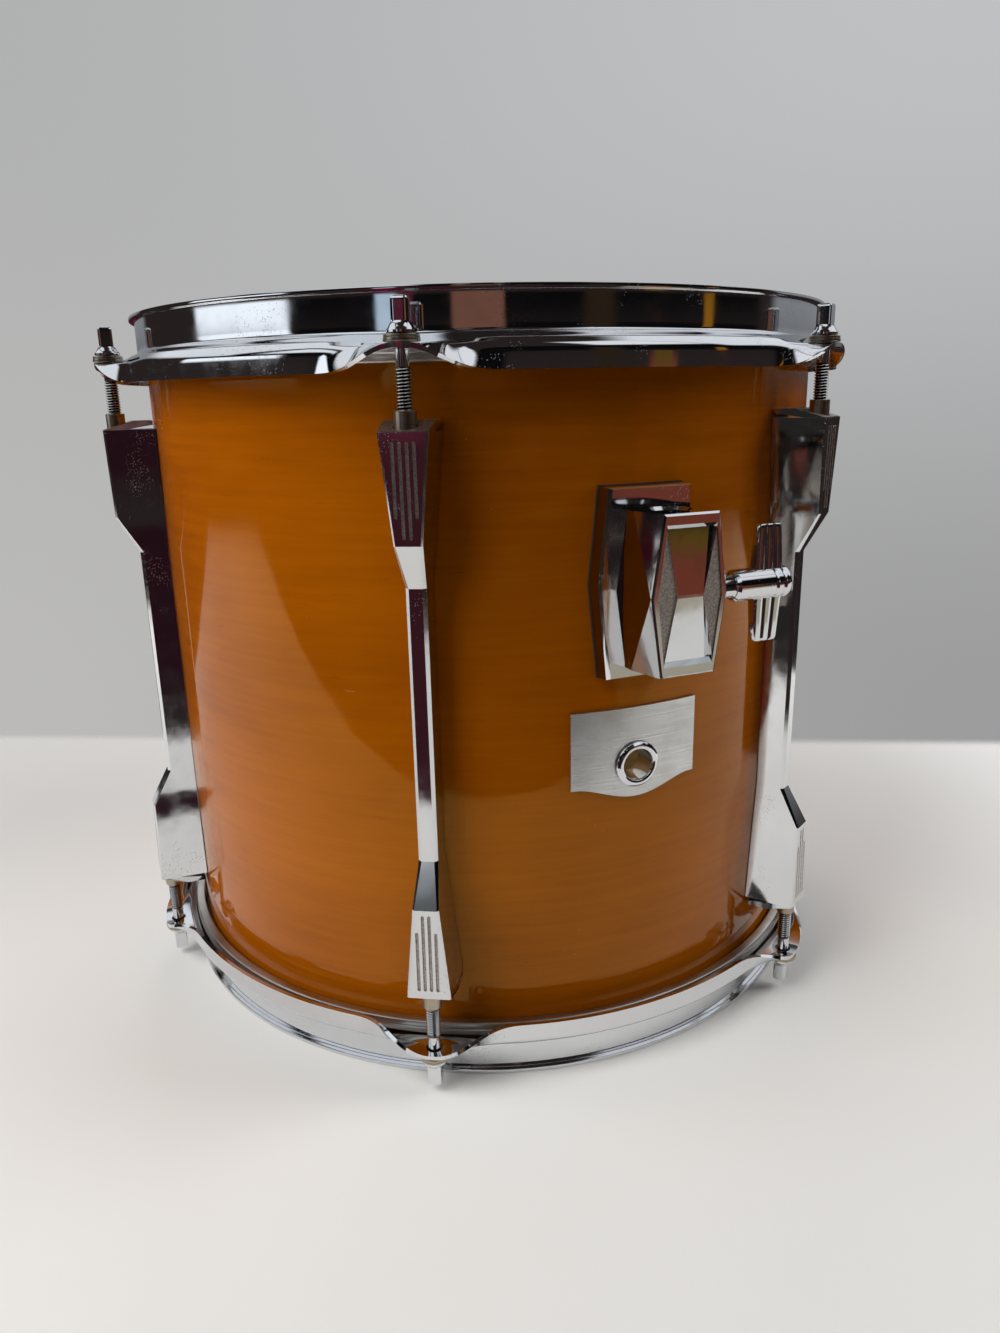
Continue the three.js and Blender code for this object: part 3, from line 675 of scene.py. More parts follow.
def hoop_row(angle, share):
    """The hoop's section at a station: rim, wall, shoulder, and the skirt or the ear."""
    def blend(plain, ear):
        return plain + (ear - plain) * share
    half = HOOP_SHEET / 2
    bend = (blend(HOOP_BEND[0], EAR_BEND_RADIUS), blend(HOOP_BEND[1], EAR_DROP))
    turn = pi / 2 * (1 - share)
    length = blend(HOOP_SKIRT_HEIGHT, EAR_REACH_RADIUS - EAR_BEND_RADIUS) - half
    shoulder = (blend(HOOP_SHOULDER[0], EAR_SHOULDER_RADIUS), blend(HOOP_SHOULDER[1], EAR_DROP))
    path = [
        (HOOP_RIM_RADIUS - half, half), (HOOP_WALL_RADIUS, half),
        (HOOP_WALL_RADIUS, HOOP_WALL_DEPTH), shoulder, bend,
        (bend[0] + length * cos(turn), bend[1] + length * sin(turn)),
    ]
    outline = sheet_outline(held(rounded(path, [1.3, 2.4, 3.2, 3.2])), HOOP_SHEET)
    return [(r * sin(angle), -r * cos(angle), RIM_HEIGHT - drop) for r, drop in outline]


def hoop_shape():
    flare = EAR_FLARE_HALF_WIDTH / ROD_CIRCLE_RADIUS
    near = [flare * k / 20 for k in range(-20, 20)]
    far = [flare + (pi / 3 - 2 * flare) * k / 16 for k in range(16)]
    stations = [(centre + a, ear_share(abs(a) * ROD_CIRCLE_RADIUS))
                for centre in LUG_ANGLES for a in near + far]
    body = skin("hoop", [hoop_row(angle, share) for angle, share in stations], closed=True)
    holes = []
    for angle in LUG_ANGLES:
        centre = (ROD_CIRCLE_RADIUS * sin(angle), -ROD_CIRCLE_RADIUS * cos(angle), 0)
        holes.append(cylinder("ear_hole", EAR_HOLE_RADIUS, 125, 136, "Z", centre, 32))
    cut(body, holes)
    smooth(body.data, 40)
    return finished(body, CHROME)


# Rods, washers and nuts, drawn for the upper end at the rod circle on the -Y side

ROD_AXIS = (0, -ROD_CIRCLE_RADIUS, 0)


def square_radius(turn, half, power=10):
    """The radius of a square with soft corners in a direction."""
    return half / (abs(cos(turn)) ** power + abs(sin(turn)) ** power) ** (1 / power)


def rod_rows():
    """(height, radius in a direction) up the rod."""
    tip = FLANGE_HEIGHT - ROD_LENGTH
    thread_end = FLANGE_HEIGHT - SHANK_LENGTH
    steps = int((thread_end - tip) / THREAD_PITCH * 8)
    rows = [(tip, lambda turn: 1.6)]
    for k in range(1, steps):
        height = tip + (thread_end - tip) * k / steps
        fade = min(1, (height - tip) / 1.2, (thread_end - height) / 1.0)
        rows.append((height, lambda turn, h=height, f=fade: thread_radius(turn, h, f)))
    under, wide, soft = FLANGE_HEIGHT, FLANGE_RADIUS, 0.25
    over, cone = under + FLANGE_THICKNESS, under + CONE_HEIGHT
    plain = [
        (thread_end, SHANK_RADIUS), (under - 0.01, SHANK_RADIUS), (under, wide - 0.3),
        (under + soft, wide), (over - soft, wide), (over, wide - 0.3), (over + 0.7, 4.1),
        (cone - 0.7, 3.6),
    ]
    rows += [(height, lambda turn, r=radius: r) for height, radius in plain]
    # The square head, as (height, share of its full width), drawn in at the top
    top = cone + KEY_HEAD_HEIGHT
    head = [(cone, 1.0), (cone + 0.3, 1.0), (top - 1.4, 1.0), (top - 1.1, 1.0), (top - 0.5, 0.95),
            (top - 0.15, 0.82), (top, 0.6), (top, 0.2)]
    rows += [(height, lambda turn, s=scale: square_radius(turn, KEY_HEAD_SIDE / 2) * s)
             for height, scale in head]
    return rows


def thread_radius(turn, height, fade):
    wave = (1 + cos(2 * pi * height / THREAD_PITCH - turn)) / 2
    return THREAD_ROOT_RADIUS + (THREAD_RADIUS - THREAD_ROOT_RADIUS) * wave * max(fade, 0)


def rod_shape():
    turns = [2 * pi * k / 48 for k in range(48)]
    body = skin("tension_rod", [[turned_point(radius(t), height, t, "Z", ROD_AXIS) for t in turns]
                                for height, radius in rod_rows()])
    smooth(body.data, 50)
    return finished(body, THREADED)


def washer_shape():
    """A washer, its rim stepped in above a fine groove."""
    bore, lower, upper = EAR_HOLE_RADIUS, WASHER_RADIUS, WASHER_RADIUS - 0.15
    bottom, middle = WASHER_BOTTOM, WASHER_BOTTOM + 1.25
    top = bottom + WASHER_THICKNESS
    path = [
        (bore, middle), (bore, bottom), (lower, bottom), (lower, middle - 0.15),
        (lower - 0.4, middle), (upper, middle + 0.15), (upper, top), (bore, top), (bore, middle),
    ]
    radii = [0.2, 0.35, 0.1, 0.1, 0.1, 0.3, 0.2]
    return turned_ring("rod_washer", path, radii, 3, STEEL, 48, "Z", ROD_AXIS)


def nut_shape():
    bottom = NUT_TOP - NUT_LENGTH
    inner = THREAD_RADIUS + RUNNING_CLEARANCE
    path = [(inner, 100), (inner, bottom), (NUT_RADIUS, bottom), (NUT_RADIUS, NUT_TOP),
            (inner + 0.3, NUT_TOP), (inner, NUT_TOP - 0.4), (inner, 100)]
    radii = [0.1, 0.5, 0.45, 0.15, 0.1]
    return turned_ring("swivel_nut", path, radii, 4, STEEL, 48, "Z", ROD_AXIS)


# Lugs

def lug_row(height, back, front, out, bevel):
    """One section of the lug, its back following the shell."""
    radius = SHELL_RADIUS + SEAT_GAP
    spans = [back * k / 4 for k in range(4, -5, -1)]
    rear = [(x, -sqrt(radius ** 2 - x ** 2), height) for x in spans]
    side = [(front, out - bevel), (front - bevel, out)]
    face = [(-x, -y, height) for x, y in side] + [(x, -y, height) for x, y in side[::-1]]
    return rear + face


def casing_front(height):
    """The radius of the casing's sloping front."""
    share = (abs(height) - LUG_CASING_FOOT) / (LUG_HALF_LENGTH - LUG_CASING_FOOT)
    return LUG_FOOT_RADIUS + (LUG_FRONT_RADIUS - LUG_FOOT_RADIUS) * share


def groove_cutter(across, low, high, sign):
    """A slot with round ends that follows the slope of the casing's front."""
    def loop(half, depth):
        points = []
        for centre, start in ((high - 0.7, 0), (low + 0.7, pi)):
            for k in range(9):
                turn = start + pi * k / 8
                height = sign * (centre + half * sin(turn))
                front = casing_front(height) - depth
                points.append((across + half * cos(turn), -front, height))
        return points
    return skin("groove", [loop(0.3, 0.5), loop(0.55, 0.25), loop(0.62, -0.02), loop(0.62, -1)])


def lug_shape():
    # (height, half width at the shell, half width at the front, front radius, corner)
    upper = [
        (LUG_HALF_LENGTH, 9.7, 8.5, LUG_FRONT_RADIUS, 0.7),
        (LUG_CASING_FOOT, 6.2, 5.0, LUG_FOOT_RADIUS, 0.7),
        (LUG_BAR_END, 4.3, 3.7, LUG_BAR_RADIUS, 1.3),
    ]
    rows = [lug_row(*row) for row in upper]
    rows += [lug_row(-row[0], *row[1:]) for row in upper[::-1]]
    body = skin("lug", rows)
    # The sloping crown on each end, as (half width, radius, height)
    crown = [(9.5, 153.3, 106), (9.5, 153.3, 107.7), (9.1, 161, 107.7), (8.4, 172.6, 104.4),
             (8.4, 172.6, 103)]
    crowns = [mirrored([(x, out, sign * up) for x, out, up in crown]) for sign in (1, -1)]
    joined(body, [hull("crown", corners) for corners in crowns])
    finished(body, CASTING, SATIN)
    bevelled(body, 0.45, 2, 12)
    cutters = []
    for sign in (1, -1):
        cutters.append(cylinder("socket", 4.15, sign * 80, sign * 108, "Z", ROD_AXIS, 48))
        for across, low in ((-3.6, 76.4), (-1.2, 69.4), (1.2, 69.4), (3.6, 76.4)):
            cutters.append(groove_cutter(across, low, 101.2, sign))
    cut(body, cutters)
    for face in body.data.polygons:
        face.material_index = 1 if unpolished(face) else 0
    return crisp(body)


def unpolished(face):
    """Whether a face lies on the lug's sloping end or in a groove."""
    height = abs(face.center.z + PLAYING_HEIGHT * MM) / MM
    if height > LUG_HALF_LENGTH and abs(face.normal.z) > 0.5:
        return True
    depth = casing_front(height) + face.center.y / MM
    return 68 < height < 102 and abs(face.center.x) < 4.5 * MM and 0.04 < depth < 0.6


def lug_screws():
    """The screws and washers that hold the lugs, on the shell's inner wall."""
    seat = sqrt(SHELL_INNER_RADIUS ** 2 - 8 ** 2)
    washer = [(0, seat), (7.6, seat), (8, seat - 0.4), (7.6, seat - 1.2), (4.6, seat - 1.2)]
    head = [(4.6, seat - 2.6), (4.0, seat - 3.6), (2.6, seat - 4.2), (2.2, seat - 3.4),
            (0, seat - 3.4)]
    shape = lathe("lug_screw", washer + head, 32, "-Y", closed=False)
    points, faces = [], []
    for angle in LUG_ANGLES:
        for height in (-LUG_SCREW_HEIGHT, LUG_SCREW_HEIGHT):
            turn = Matrix.Translation((0, 0, height * MM)) @ Matrix.Rotation(angle, 4, "Z")
            faces += [[len(points) + v for v in face.vertices] for face in shape.data.polygons]
            points += [turn @ vertex.co for vertex in shape.data.vertices]
    bpy.data.objects.remove(shape)
    mesh = bpy.data.meshes.new("lug_screws")
    mesh.from_pydata(points, [], faces)
    smooth(mesh)
    dress(finished(object_of(mesh), STEEL), "drum", "plain_steel")


# Bracket and clamp

def bracket():
    """The bracket, drawn about its own middle height and then raised."""
    # Hexagons, as (radius, half height, half width in the middle, half width at the ends)
    base_levels = [(148.4, 34.6, 20.5, 17), (155.2, 34.6, 20.5, 17),
                   (BRACKET_BASE_RADIUS - 1.3, 34.4, 20.2, 16.6),
                   (BRACKET_BASE_RADIUS, 33.9, 19.3, 15.4)]
    tier_levels = [(155.2, BLOCK_HALF_HEIGHT, 20.5, 17.7),
                   (BRACKET_TIER_RADIUS, BLOCK_HALF_HEIGHT, 17.6, 13.6)]
    front, foot = BRACKET_FRONT_RADIUS, BRACKET_TIER_RADIUS - 2
    corners = [(16.2, foot, 0), (14.9, front - 0.7, 0), (14.2, front, 0)]
    for side in (1, -1):
        end = side * BLOCK_HALF_HEIGHT
        corners += [(13.6, foot, end), (13.9, ARM_AXIS_RADIUS - 0.5, end),
                    (10.7, front - 0.7, end), (10.1, front, end - side * 0.7)]
    base, tier = hexagons("bracket", base_levels), hexagons("tier", tier_levels)
    joined(base, [tier, hull("block", mirrored(corners))])
    bevelled(base, 0.7, 3, 12)
    cut(base, bore_cutters())
    cut(base, panel_cutters() + facet_cutters())
    base.data.transform(Matrix.Translation((0, 0, BRACKET_HEIGHT * MM)))
    finished(base, CASTING, SATIN, SIDE_SHADED_CASTING)
    # Faces that face straight sideways take the darker copy of the chrome, painted shade.
    for face in base.data.polygons:
        face.material_index = 1 if on_facet(face) else 2 if abs(face.normal.x) > 0.985 else 0
    crisp(base)
    dress(base, "drum", "chromed_casting", "tom_bracket")


def hexagons(name, levels):
    """The solid between hexagons that are widest in the middle."""
    corners = []
    for out, tall, wide, end in levels:
        corners += [(end, out, tall), (wide, out, 0), (end, out, -tall)]
    return hull(name, mirrored(corners))


def bore_cutters():
    """The curved seat on the shell, the tom arm's bore and the clamp's cross bore."""
    mouth, straight = BLOCK_HALF_HEIGHT + 2.3, BLOCK_HALF_HEIGHT - 1.2
    arm = [(0, -mouth), (ARM_MOUTH_RADIUS, -mouth), (ARM_BORE_RADIUS, -straight),
           (ARM_BORE_RADIUS, straight), (ARM_MOUTH_RADIUS, mouth), (0, mouth)]
    clamp = (0, -ARM_AXIS_RADIUS, -CLAMP_DROP)
    return [
        cylinder("seat", BRACKET_SEAT_RADIUS, -120, 120, segments=RING),
        lathe("arm_bore", arm, 64, "Z", (0, -ARM_AXIS_RADIUS, 0), closed=False),
        cylinder("pocket", 5.05, 0, POCKET_DEPTH, "X", clamp),
        cylinder("thread", 4.12, 0, 23, "X", clamp),
    ]


def panel_cutters():
    """The hourglass panel's two scoops, deepest at its ends."""
    front = BRACKET_FRONT_RADIUS
    return [hull("panel", mirrored([
        (5, front, side * 0.5), (5, front + 2, side * 0.5),
        (9.8, front + 2, side * 25.3), (9.8, front - 2.4, side * 22.6),
    ])) for side in (1, -1)]


def facet_cutters():
    """The grainy kites beside the panel, set a little below the frame round them."""
    front = BRACKET_FRONT_RADIUS
    kite = [(5.2, 0), (9.7, 23.2), (12.5, 0), (9.7, -23.2)]
    return [hull("facet", [(side * across, -out, up) for across, up in kite
                           for out in (front - FACET_DEPTH, front + 1)]) for side in (1, -1)]


def on_facet(face):
    depth = BRACKET_FRONT_RADIUS + face.center.y / MM
    return abs(depth - FACET_DEPTH) < 0.05 and face.normal.y < -0.99


def at_clamp(obj):
    """Moves a shape drawn along X through the origin to the clamp's axis."""
    middle = (0, -ARM_AXIS_RADIUS * MM, (BRACKET_HEIGHT - CLAMP_DROP) * MM)
    obj.data.transform(Matrix.Translation(middle))
    return obj


def clamp_shoe():
    """A disc whose inner face is hollowed to the tom arm."""
    body = at_clamp(cylinder("clamp_shoe_disc", 4.8, 0, POCKET_DEPTH - SEAT_GAP, "X"))
    centre = (0, -ARM_AXIS_RADIUS, 0)
    cut(body, [cylinder("bore", ARM_BORE_RADIUS, 10, 90, "Z", centre, 96)])
    bevelled(body, 0.25)
    dress(finished(crisp(body), STEEL), "clamp_shoe", "plain_steel", "clamp_shoe")


def wing_row(reach, centre, half_width, half_thickness, shrink):
    """A section of a wing: each broad side has two grooves between three ribs."""
    broad = []
    for k in range(25):
        along = -1 + 2 * k / 24
        groove = 0.5 * (1 + cos(pi * min(1, abs(abs(along) - 1 / 3) / 0.13)))
        edge = max(0, abs(along) - 0.86) / 0.14
        thick = half_thickness - 0.5 * groove - 0.6 * edge ** 2
        broad.append((along * half_width * shrink, thick * shrink))
    loop = broad + [(-a, -t) for a, t in broad]
    return [(centre + along, thick, reach) for along, thick in loop]


def wing_bolt():
    """A bolt with a ringed barrel and two wings across it."""
    tip, inner, outer, barrel = POCKET_DEPTH, 26.0, 49.5, 5.8
    path = [(0, tip), (3.4, tip), (4, tip + 0.6), (4, inner - 0.6), (4.4, inner), (4.9, inner),
            (barrel, inner + 1.1)]
    ring = [(0, -0.75), (0.35, -0.4), (0.6, 0), (0.35, 0.4), (0, 0.75)]
    for place in (outer - 6.8, outer - 3.4):
        path += [(barrel - depth, place + along) for depth, along in ring]
    path += [(barrel, outer - 1.2), (barrel - 0.3, outer - 0.5), (4.9, outer - 0.1), (4.4, outer),
             (0, outer)]
    handle = lathe("wing_bolt_handle", path, 64, "X", closed=False)
    half_width, half_thickness, wing_reach = 6.1, 2.7, 21.5
    middle = outer - 2.2 - half_width
    # Sections up a wing, as (reach, share of the full section)
    sections = [(0, 1), (7, 1), (14, 1), (20.3, 1), (20.9, 0.96), (21.3, 0.88), (wing_reach, 0.72)]
    wings = []
    for sign in (1, -1):
        rows = []
        for reach, shrink in sections:
            taper = reach / wing_reach
            row = wing_row(reach, middle, half_width - taper, half_thickness - 1.1 * taper, shrink)
            rows.append([(x, sign * y, sign * z) for x, y, z in row])
        wings.append(skin("wing", rows))
    joined(handle, wings)
    smooth(at_clamp(handle).data, 38)
    dress(finished(handle, CASTING), "wing_bolt", "chromed_casting", "wing_bolt")


# Plates that follow the shell

def curved_plate(name, spans, low, high, inner, outer, steps=12):
    """A plate between two radii; low(x) and high(x) bound it at each place across."""
    rows = []
    for x in spans:
        turn = x / outer
        heights = [low(x) + (high(x) - low(x)) * k / steps for k in range(steps + 1)]
        front = [(outer * sin(turn), -outer * cos(turn), z) for z in heights]
        back = [(inner * sin(turn), -inner * cos(turn), z) for z in heights[::-1]]
        rows.append(front + back)
    return skin(name, rows)


def spread(half, count):
    return [-half + 2 * half * k / count for k in range(count + 1)]


def fitted(plate, holes, bevel, material_used, slot, stands_for):
    """Cuts a plate's holes, softens its edges and makes it a piece of the drum."""
    cut(plate, holes)
    bevelled(plate, bevel)
    dress(finished(plate, material_used), "drum", slot, stands_for)


def gasket():
    end, half, tall = 17.4, 20.9, 35.0

    def top(x):
        return BRACKET_HEIGHT + tall * min(1, (half - abs(x)) / (half - end))

    def bottom(x):
        return 2 * BRACKET_HEIGHT - top(x)
    radii = SHELL_RADIUS + SEAT_GAP, BRACKET_SEAT_RADIUS - SEAT_GAP
    strip = curved_plate("bracket_gasket_strip", spread(half - 0.02, 60), bottom, top, *radii)
    fitted(strip, screw_holes(), 0.25, RUBBER, "gasket", "bracket_gasket")


def backing_plate():
    outer = SHELL_INNER_RADIUS - SEAT_GAP
    plate = curved_plate("backing_plate", spread(14, 24), lambda x: BRACKET_HEIGHT - 33,
                         lambda x: BRACKET_HEIGHT + 33, outer - 2, outer)
    fitted(plate, screw_holes(32), 0.4, STEEL, "plain_steel", "bracket_backing_plate")


def bracket_screws():
    seat, shank, end = 142.6, 2.9, 162.2
    profile = [(0, seat - 1.6), (2.2, seat - 1.6), (2.4, seat - 3.4), (4.0, seat - 3.2),
               (5, seat - 1.8), (5, seat), (shank, seat), (shank, end - 0.6), (2.3, end), (0, end)]
    for number, side in ((1, 1), (2, -1)):
        centre = (0, 0, BRACKET_HEIGHT + side * SCREW_OFFSET)
        body = lathe(f"bracket_screw_bolt_{number}", profile, 40, "-Y", centre, closed=False)
        smooth(body.data)
        dress(finished(body, STEEL), "drum", "plain_steel", f"bracket_screw_{number}")


def badge():
    """The badge, its lower edge bulging between two square corners."""
    side, bulge, reach = BADGE_TOP - 31.0, 5.4, BADGE_HALF_WIDTH - 3.0

    def low(x):
        return side - bulge * sin(pi / 2 * max(reach - abs(x), 0) / reach) ** 1.6
    spans = spread(BADGE_HALF_WIDTH, 72)
    plate = curved_plate("badge_plate", spans, low, lambda x: BADGE_TOP, *BADGE_RADII)
    vent = shell_hole(VENT_HEIGHT, VENT_HOLE_RADIUS)
    fitted(plate, [vent], 0.18, BADGE, "badge_plate", "badge")


def grommet():
    """An eyelet with a round lip on the badge and a flared one inside the shell."""
    seat, lip = BADGE_RADII[1] + SEAT_GAP, SHELL_INNER_RADIUS - 0.5
    bore, tube = 6.15, VENT_HOLE_RADIUS - SEAT_GAP
    path = [
        (tube, 150), (tube, seat), (9.3, seat), (9.1, seat + 0.7), (8.0, seat + 1.45),
        (7.2, seat + 1.5), (6.4, seat + 1.2), (bore, seat + 0.5), (bore, lip - 0.8),
        (7.4, lip - 0.8), (8.2, lip - 0.3), (8.2, lip), (tube, lip), (tube, 150),
    ]
    radii = [0.1, 0.3, 0.5, 0.6, 0.5, 0.5, 0.5, 0.4, 0.4, 0.2, 0.2, 0.1]
    body = turned_ring("vent_eyelet", path, radii, 3, CHROME, 72, "-Y", (0, 0, VENT_HEIGHT))
    dress(body, "drum", "chromed_steel", "vent_grommet")


# Assembly

def ends():
    """Both ends of the drum: film, flesh hoop, hoop, and six rods, washers and nuts each."""
    # Kind, shape, slot and, where it moves, the name that its body goes by
    rings = [("hoop", hoop_shape(), "chromed_steel"),
             ("flesh_hoop", flesh_hoop_shape(), "aluminium")]
    stations = [("tension_rod", rod_shape(), "chromed_steel", "rod"),
                ("rod_washer", washer_shape(), "plain_steel", "washer"),
                ("swivel_nut", nut_shape(), "plain_steel", None)]
    for end, upside_down in (("batter", False), ("resonant", True)):
        for kind, shape, slot in rings:
            name = f"{end}_{kind}"
            placed_end(shape, f"{name}_piece", "drum", slot, name, 0, upside_down)
        for kind, shape, slot, moving in stations:
            for i, angle in enumerate(LUG_ANGLES, 1):
                name = f"{end}_{kind}_{i}"
                body = f"{end}_{moving}_{i}" if moving else "drum"
                placed_end(shape, f"{name}_piece", body, slot, name, angle, upside_down)
    film("batter", COATED, "coated_film", False)
    film("resonant", CLEAR, "clear_film", True)
    for row in rings + stations:
        bpy.data.objects.remove(row[1])


def lugs():
    shape = lug_shape()
    for i, angle in enumerate(LUG_ANGLES, 1):
        name = f"lug_{i}"
        placed_end(shape, f"{name}_casting", "drum", "chromed_casting", name, angle, False)
    bpy.data.objects.remove(shape)


shell()
ends()
lugs()
lug_screws()
bracket()
clamp_shoe()
wing_bolt()
gasket()
backing_plate()
bracket_screws()
badge()
grommet()


# Stage, light and camera, in metres and set out from the photograph's viewpoint

VIEW_TURN = radians(21.6)
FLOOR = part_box("resonant_hoop")[0].z
AHEAD = Vector((sin(VIEW_TURN), cos(VIEW_TURN), 0))
RIGHT = Vector((cos(VIEW_TURN), -sin(VIEW_TURN), 0))

# The tabletop: how far ahead its far edge is, that edge's slant, its near edge and its half width
TABLE_FAR, TABLE_SLANT, TABLE_NEAR, TABLE_WIDE = 0.243, 0.0943, -0.42, 2.0


def distance_along(place, direction):
    inputs = {0: place, 1: direction}
    made = node(place.id_data, "ShaderNodeVectorMath", inputs, operation="DOT_PRODUCT")
    return made.outputs["Value"]


def tabletop(place):
    """Pale matt tabletop with faint clouding; at its far end it is painted darker on the left and
    lighter on the right, painted shade and painted light that even out the lamps.

    Its far edge fades into the wall, and its underside lets a view from below through.
    """
    across = distance_along(place, RIGHT)
    ahead = distance_along(place, AHEAD)
    # Painted shade on the left and painted light on the right of the far end, evening out the
    # lamps.
    share = ramp(across, -0.36, 0.36)
    far_end_painted_light = mixed(share, (0.59, 0.575, 0.555), (0.97, 0.96, 0.94))
    even = mixed(ramp(ahead, -0.16, 0.16), (0.735, 0.725, 0.70), far_end_painted_light)
    clouds = ramp(noise(place, 5, 4.0), 0.3, 0.7, 0.0, 0.06)
    squared = maths("MULTIPLY_ADD", across, TABLE_SLANT, ahead)
    fade = ramp(squared, TABLE_FAR - 0.02, TABLE_FAR)
    below = node(place.id_data, "ShaderNodeNewGeometry").outputs["Backfacing"]
    return {
        "Base Color": mixed(clouds, even, (1.0, 1.0, 1.0)),
        "Roughness": 0.7,
        "Normal": bump(noise(place, 400, 2.0), 0.02 * MM),
        "Specular IOR Level": 0.25,
        "Hidden": maths("MAXIMUM", fade, below),
    }


def floor():
    corners = [(-TABLE_WIDE, TABLE_NEAR), (TABLE_WIDE, TABLE_NEAR),
               (TABLE_WIDE, TABLE_FAR - TABLE_SLANT * TABLE_WIDE),
               (-TABLE_WIDE, TABLE_FAR + TABLE_SLANT * TABLE_WIDE)]
    points = [AHEAD * y + RIGHT * x + Vector((0, 0, FLOOR)) for x, y in corners]
    mesh = bpy.data.meshes.new("tabletop")
    mesh.from_pydata(points, [], [(0, 1, 2, 3)])
    obj = object_of(mesh)
    finished(obj, material("tabletop", tabletop))


def direction_patch(place, turn, lift, half_turn, half_lift, soft):
    """1 inside a soft-edged patch of the surroundings, given by its turn from the -Y side and its
    lift above the horizon, in radians."""
    x, y, z = coordinates(place)
    away = maths("ARCTAN2", x, times(y, -1.0))
    nearest = maths("WRAP", maths("SUBTRACT", away, turn), pi, -pi)
    upwards = maths("SUBTRACT", maths("ARCSINE", z), lift)
    across = ramp(maths("ABSOLUTE", nearest), half_turn + soft, half_turn - soft)
    along = ramp(maths("ABSOLUTE", upwards), half_lift + soft, half_lift - soft)
    return times(across, along)


# What bright metal mirrors, as (colour, turn from the camera's side, lift, half turn, half lift,
# softness) in degrees, later ones on top: a dim room, a window, pale walls and a bright ceiling
ROOM = [
    ((0.0035, 0.0035, 0.004), 0, 17, 98, 13.5, 2),
    ((0.25, 0.26, 0.28), 165.5, 18.5, 59.5, 16.5, 3),
    ((0.85, 0.88, 0.92), 180, 45, 96, 21, 4),
    ((0.05, 0.05, 0.055), 175, 48, 15, 30, 5),
    ((1.15, 1.22, 1.30), -78.5, 8.9, 19, 5.6, 1.2),
    ((0.50, 0.62, 0.74), -27.5, 7, 3.2, 4.2, 0.8),
    ((0.17, 0.075, 0.052), 0, 8, 7.8, 5.4, 0.8),
    ((0.025, 0.016, 0.009), 37, 8, 4.5, 7, 2.5),
    ((0.26, 0.11, 0.01), 75, 7, 1.8, 4, 0.8),
    ((0.9, 0.95, 1.0), -46, 46, 26, 20, 4),
    ((0.9, 0.92, 0.95), 60, 50, 22, 16, 4),
    ((1.2, 1.05, 0.8), -5, 27, 2.5, 1.2, 0.6),
    ((1.2, 1.05, 0.8), 7, 32, 1.5, 1, 0.6),
    ((0.042, 0.010, 0.015), -21.5, -27, 16, 24.5, 3),
    ((0.16, 0.006, 0.03), -28.5, -27, 2.5, 24, 1),
    ((0.085, 0.016, 0.028), -21.5, 1.5, 2, 6, 0.5),
    ((0.05, 0.007, 0.014), -157, -8, 14, 9, 3),
    ((0.30, 0.16, 0.14), -157, -1, 9, 1.6, 0.6),
    ((0.020, 0.006, 0.010), 19, -8, 9, 7.5, 1),
    ((0.15, 0.08, 0.07), 15, -2.2, 4, 1.4, 0.6),
    ((0.022, 0.020, 0.018), -55, -8, 9, 7, 1),
    ((0.17, 0.042, 0.026), 54.5, -5.5, 4.5, 7.5, 0.8),
    ((0.10, 0.065, 0.008), 54.5, 2.1, 3, 0.6, 0.3),
    ((0.42, 0.38, 0.30), 57, -19, 12, 6.5, 1.5),
]


def surroundings():
    world = bpy.data.worlds.new("studio")
    bpy.context.scene.world = world
    world.use_nodes = True
    tree = world.node_tree
    tree.nodes.clear()
    place = node(tree, "ShaderNodeTexCoord").outputs["Generated"]
    room = (0.024, 0.018, 0.017)
    for colour, turn, *extent in ROOM:
        extent = [radians(size) for size in extent]
        patch = direction_patch(place, radians(turn) - VIEW_TURN, *extent)
        room = mixed(patch, room, colour)

    def background(colour, strength=1.0):
        inputs = {"Color": colour, "Strength": strength}
        return node(tree, "ShaderNodeBackground", inputs).outputs[0]
    path = node(tree, "ShaderNodeLightPath").outputs
    soft = background((1.0, 1.0, 1.0, 1), 0.05)
    lit = mixed_shaders(path["Is Glossy Ray"], soft, background(room))
    seen = maths("MAXIMUM", path["Is Camera Ray"], path["Is Transmission Ray"])
    whole = mixed_shaders(seen, lit, background(wall_colour(place)))
    node(tree, "ShaderNodeOutputWorld", {"Surface": whole})


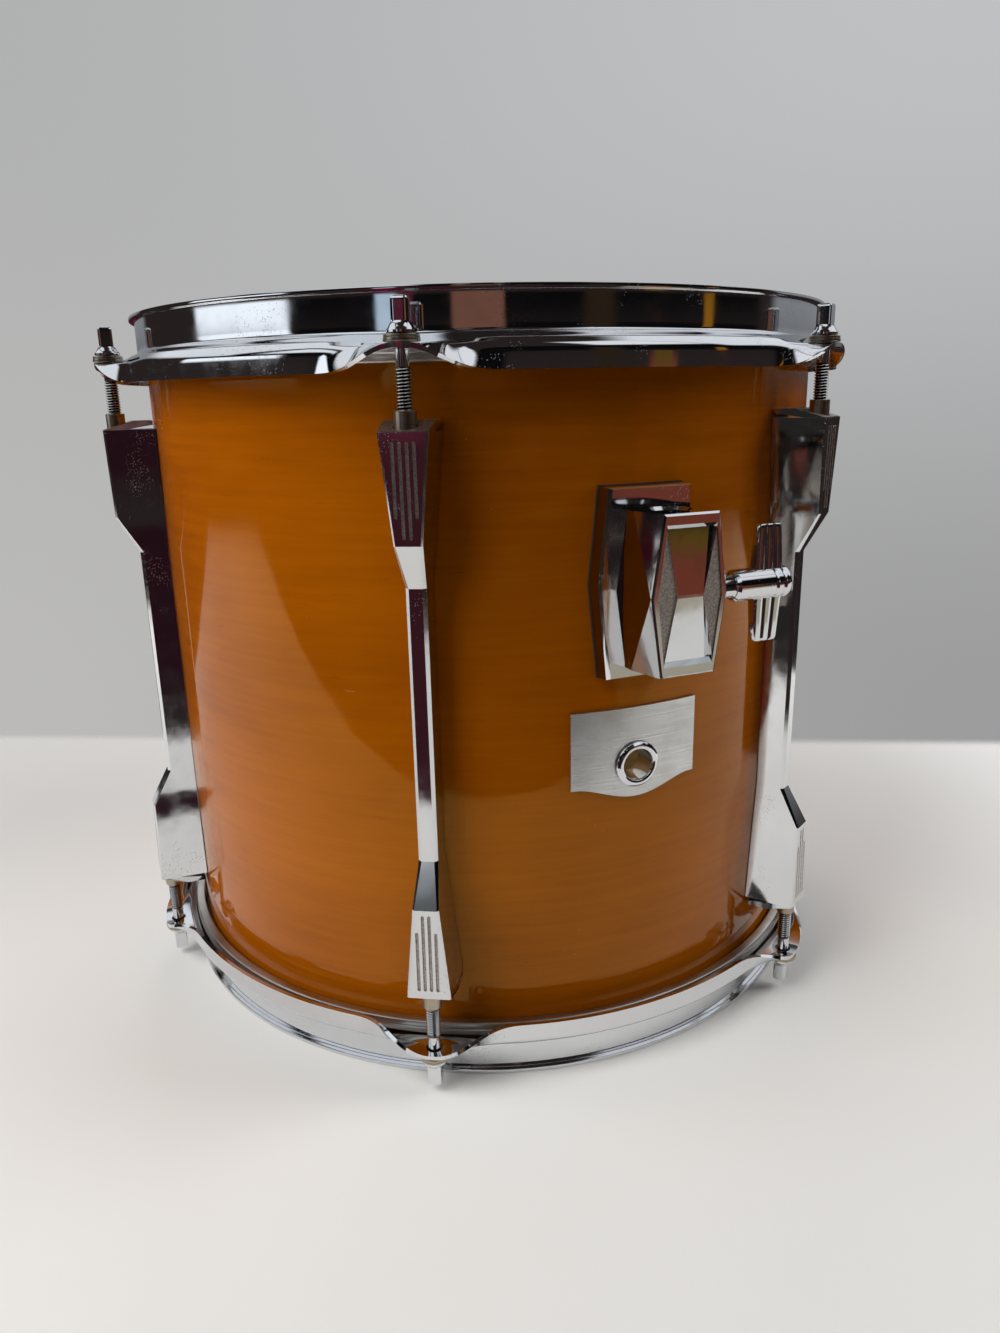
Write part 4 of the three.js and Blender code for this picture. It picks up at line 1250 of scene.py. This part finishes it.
def wall_colour(place):
    """Plain grey wall: even on the left; on the right, painted light makes it paler high up and
    painted shade darker low down.
    """
    share = ramp(distance_along(place, RIGHT), -0.5, 0.5)
    height = ramp(coordinates(place)[2], -0.3, 0.34)
    # Painted shade low down and painted light high up on the right.
    low = mixed(share, (0.497, 0.493, 0.485), (0.335, 0.335, 0.335))
    high = mixed(share, (0.435, 0.437, 0.439), (0.53, 0.535, 0.55))
    return mixed(height, low, high)


# Lamps as (turn from the camera's side, lift, watts), in degrees: a broad key on the left, fill
# from the right and one lamp behind for the tabletop
LAMPS = {
    "left_low": (-90, 20, 10), "left_front_low": (-50, 20, 6), "left_front_high": (-50, 50, 19),
    "right": (90, 30, 15.5), "behind": (180, 50, 7.5),
}


def lamps():
    """Round soft lamps that bright metal doesn't mirror: it mirrors the painted room."""
    middle, distance = Vector((0, 0, -0.15)), 1.7
    for name, (turn, lift, power) in LAMPS.items():
        turn, lift = radians(turn), radians(lift)
        data = bpy.data.lights.new(name, "AREA")
        data.shape = "DISK"
        data.size = 1.0
        data.energy = power
        lamp = object_of(data)
        away = (AHEAD * -cos(turn) + RIGHT * sin(turn)) * cos(lift) + Vector((0, 0, sin(lift)))
        lamp.location = middle + away * distance
        lamp.rotation_euler = away.to_track_quat("Z", "Y").to_euler()
        lamp.visible_glossy = False


def camera():
    """The photograph's viewpoint, fitted to the drum's rims and sides."""
    yaw, pitch, roll = 0.01378 + VIEW_TURN, 0.27662, -0.02172
    distance, height, focal_pixels, frame_pixels = 0.48382, 0.26422, 951.46, 1333
    forward = Vector((sin(yaw) * cos(pitch), cos(yaw) * cos(pitch), -sin(pitch)))
    level = Vector((cos(yaw), -sin(yaw), 0))
    right = cos(roll) * level + sin(roll) * level.cross(forward)
    up = right.cross(forward)
    data = bpy.data.cameras.new("camera")
    data.sensor_width = 36
    data.lens = data.sensor_width * focal_pixels / frame_pixels
    data.clip_start = 0.01
    obj = object_of(data)
    turn = Matrix((right, up, -forward)).transposed().to_4x4()
    eye = AHEAD * -distance + Vector((0, 0, height + FLOOR))
    obj.matrix_world = Matrix.Translation(eye) @ turn
    bpy.context.scene.camera = obj


floor()
surroundings()
lamps()
camera()
bpy.context.scene.view_settings.view_transform = "Standard"
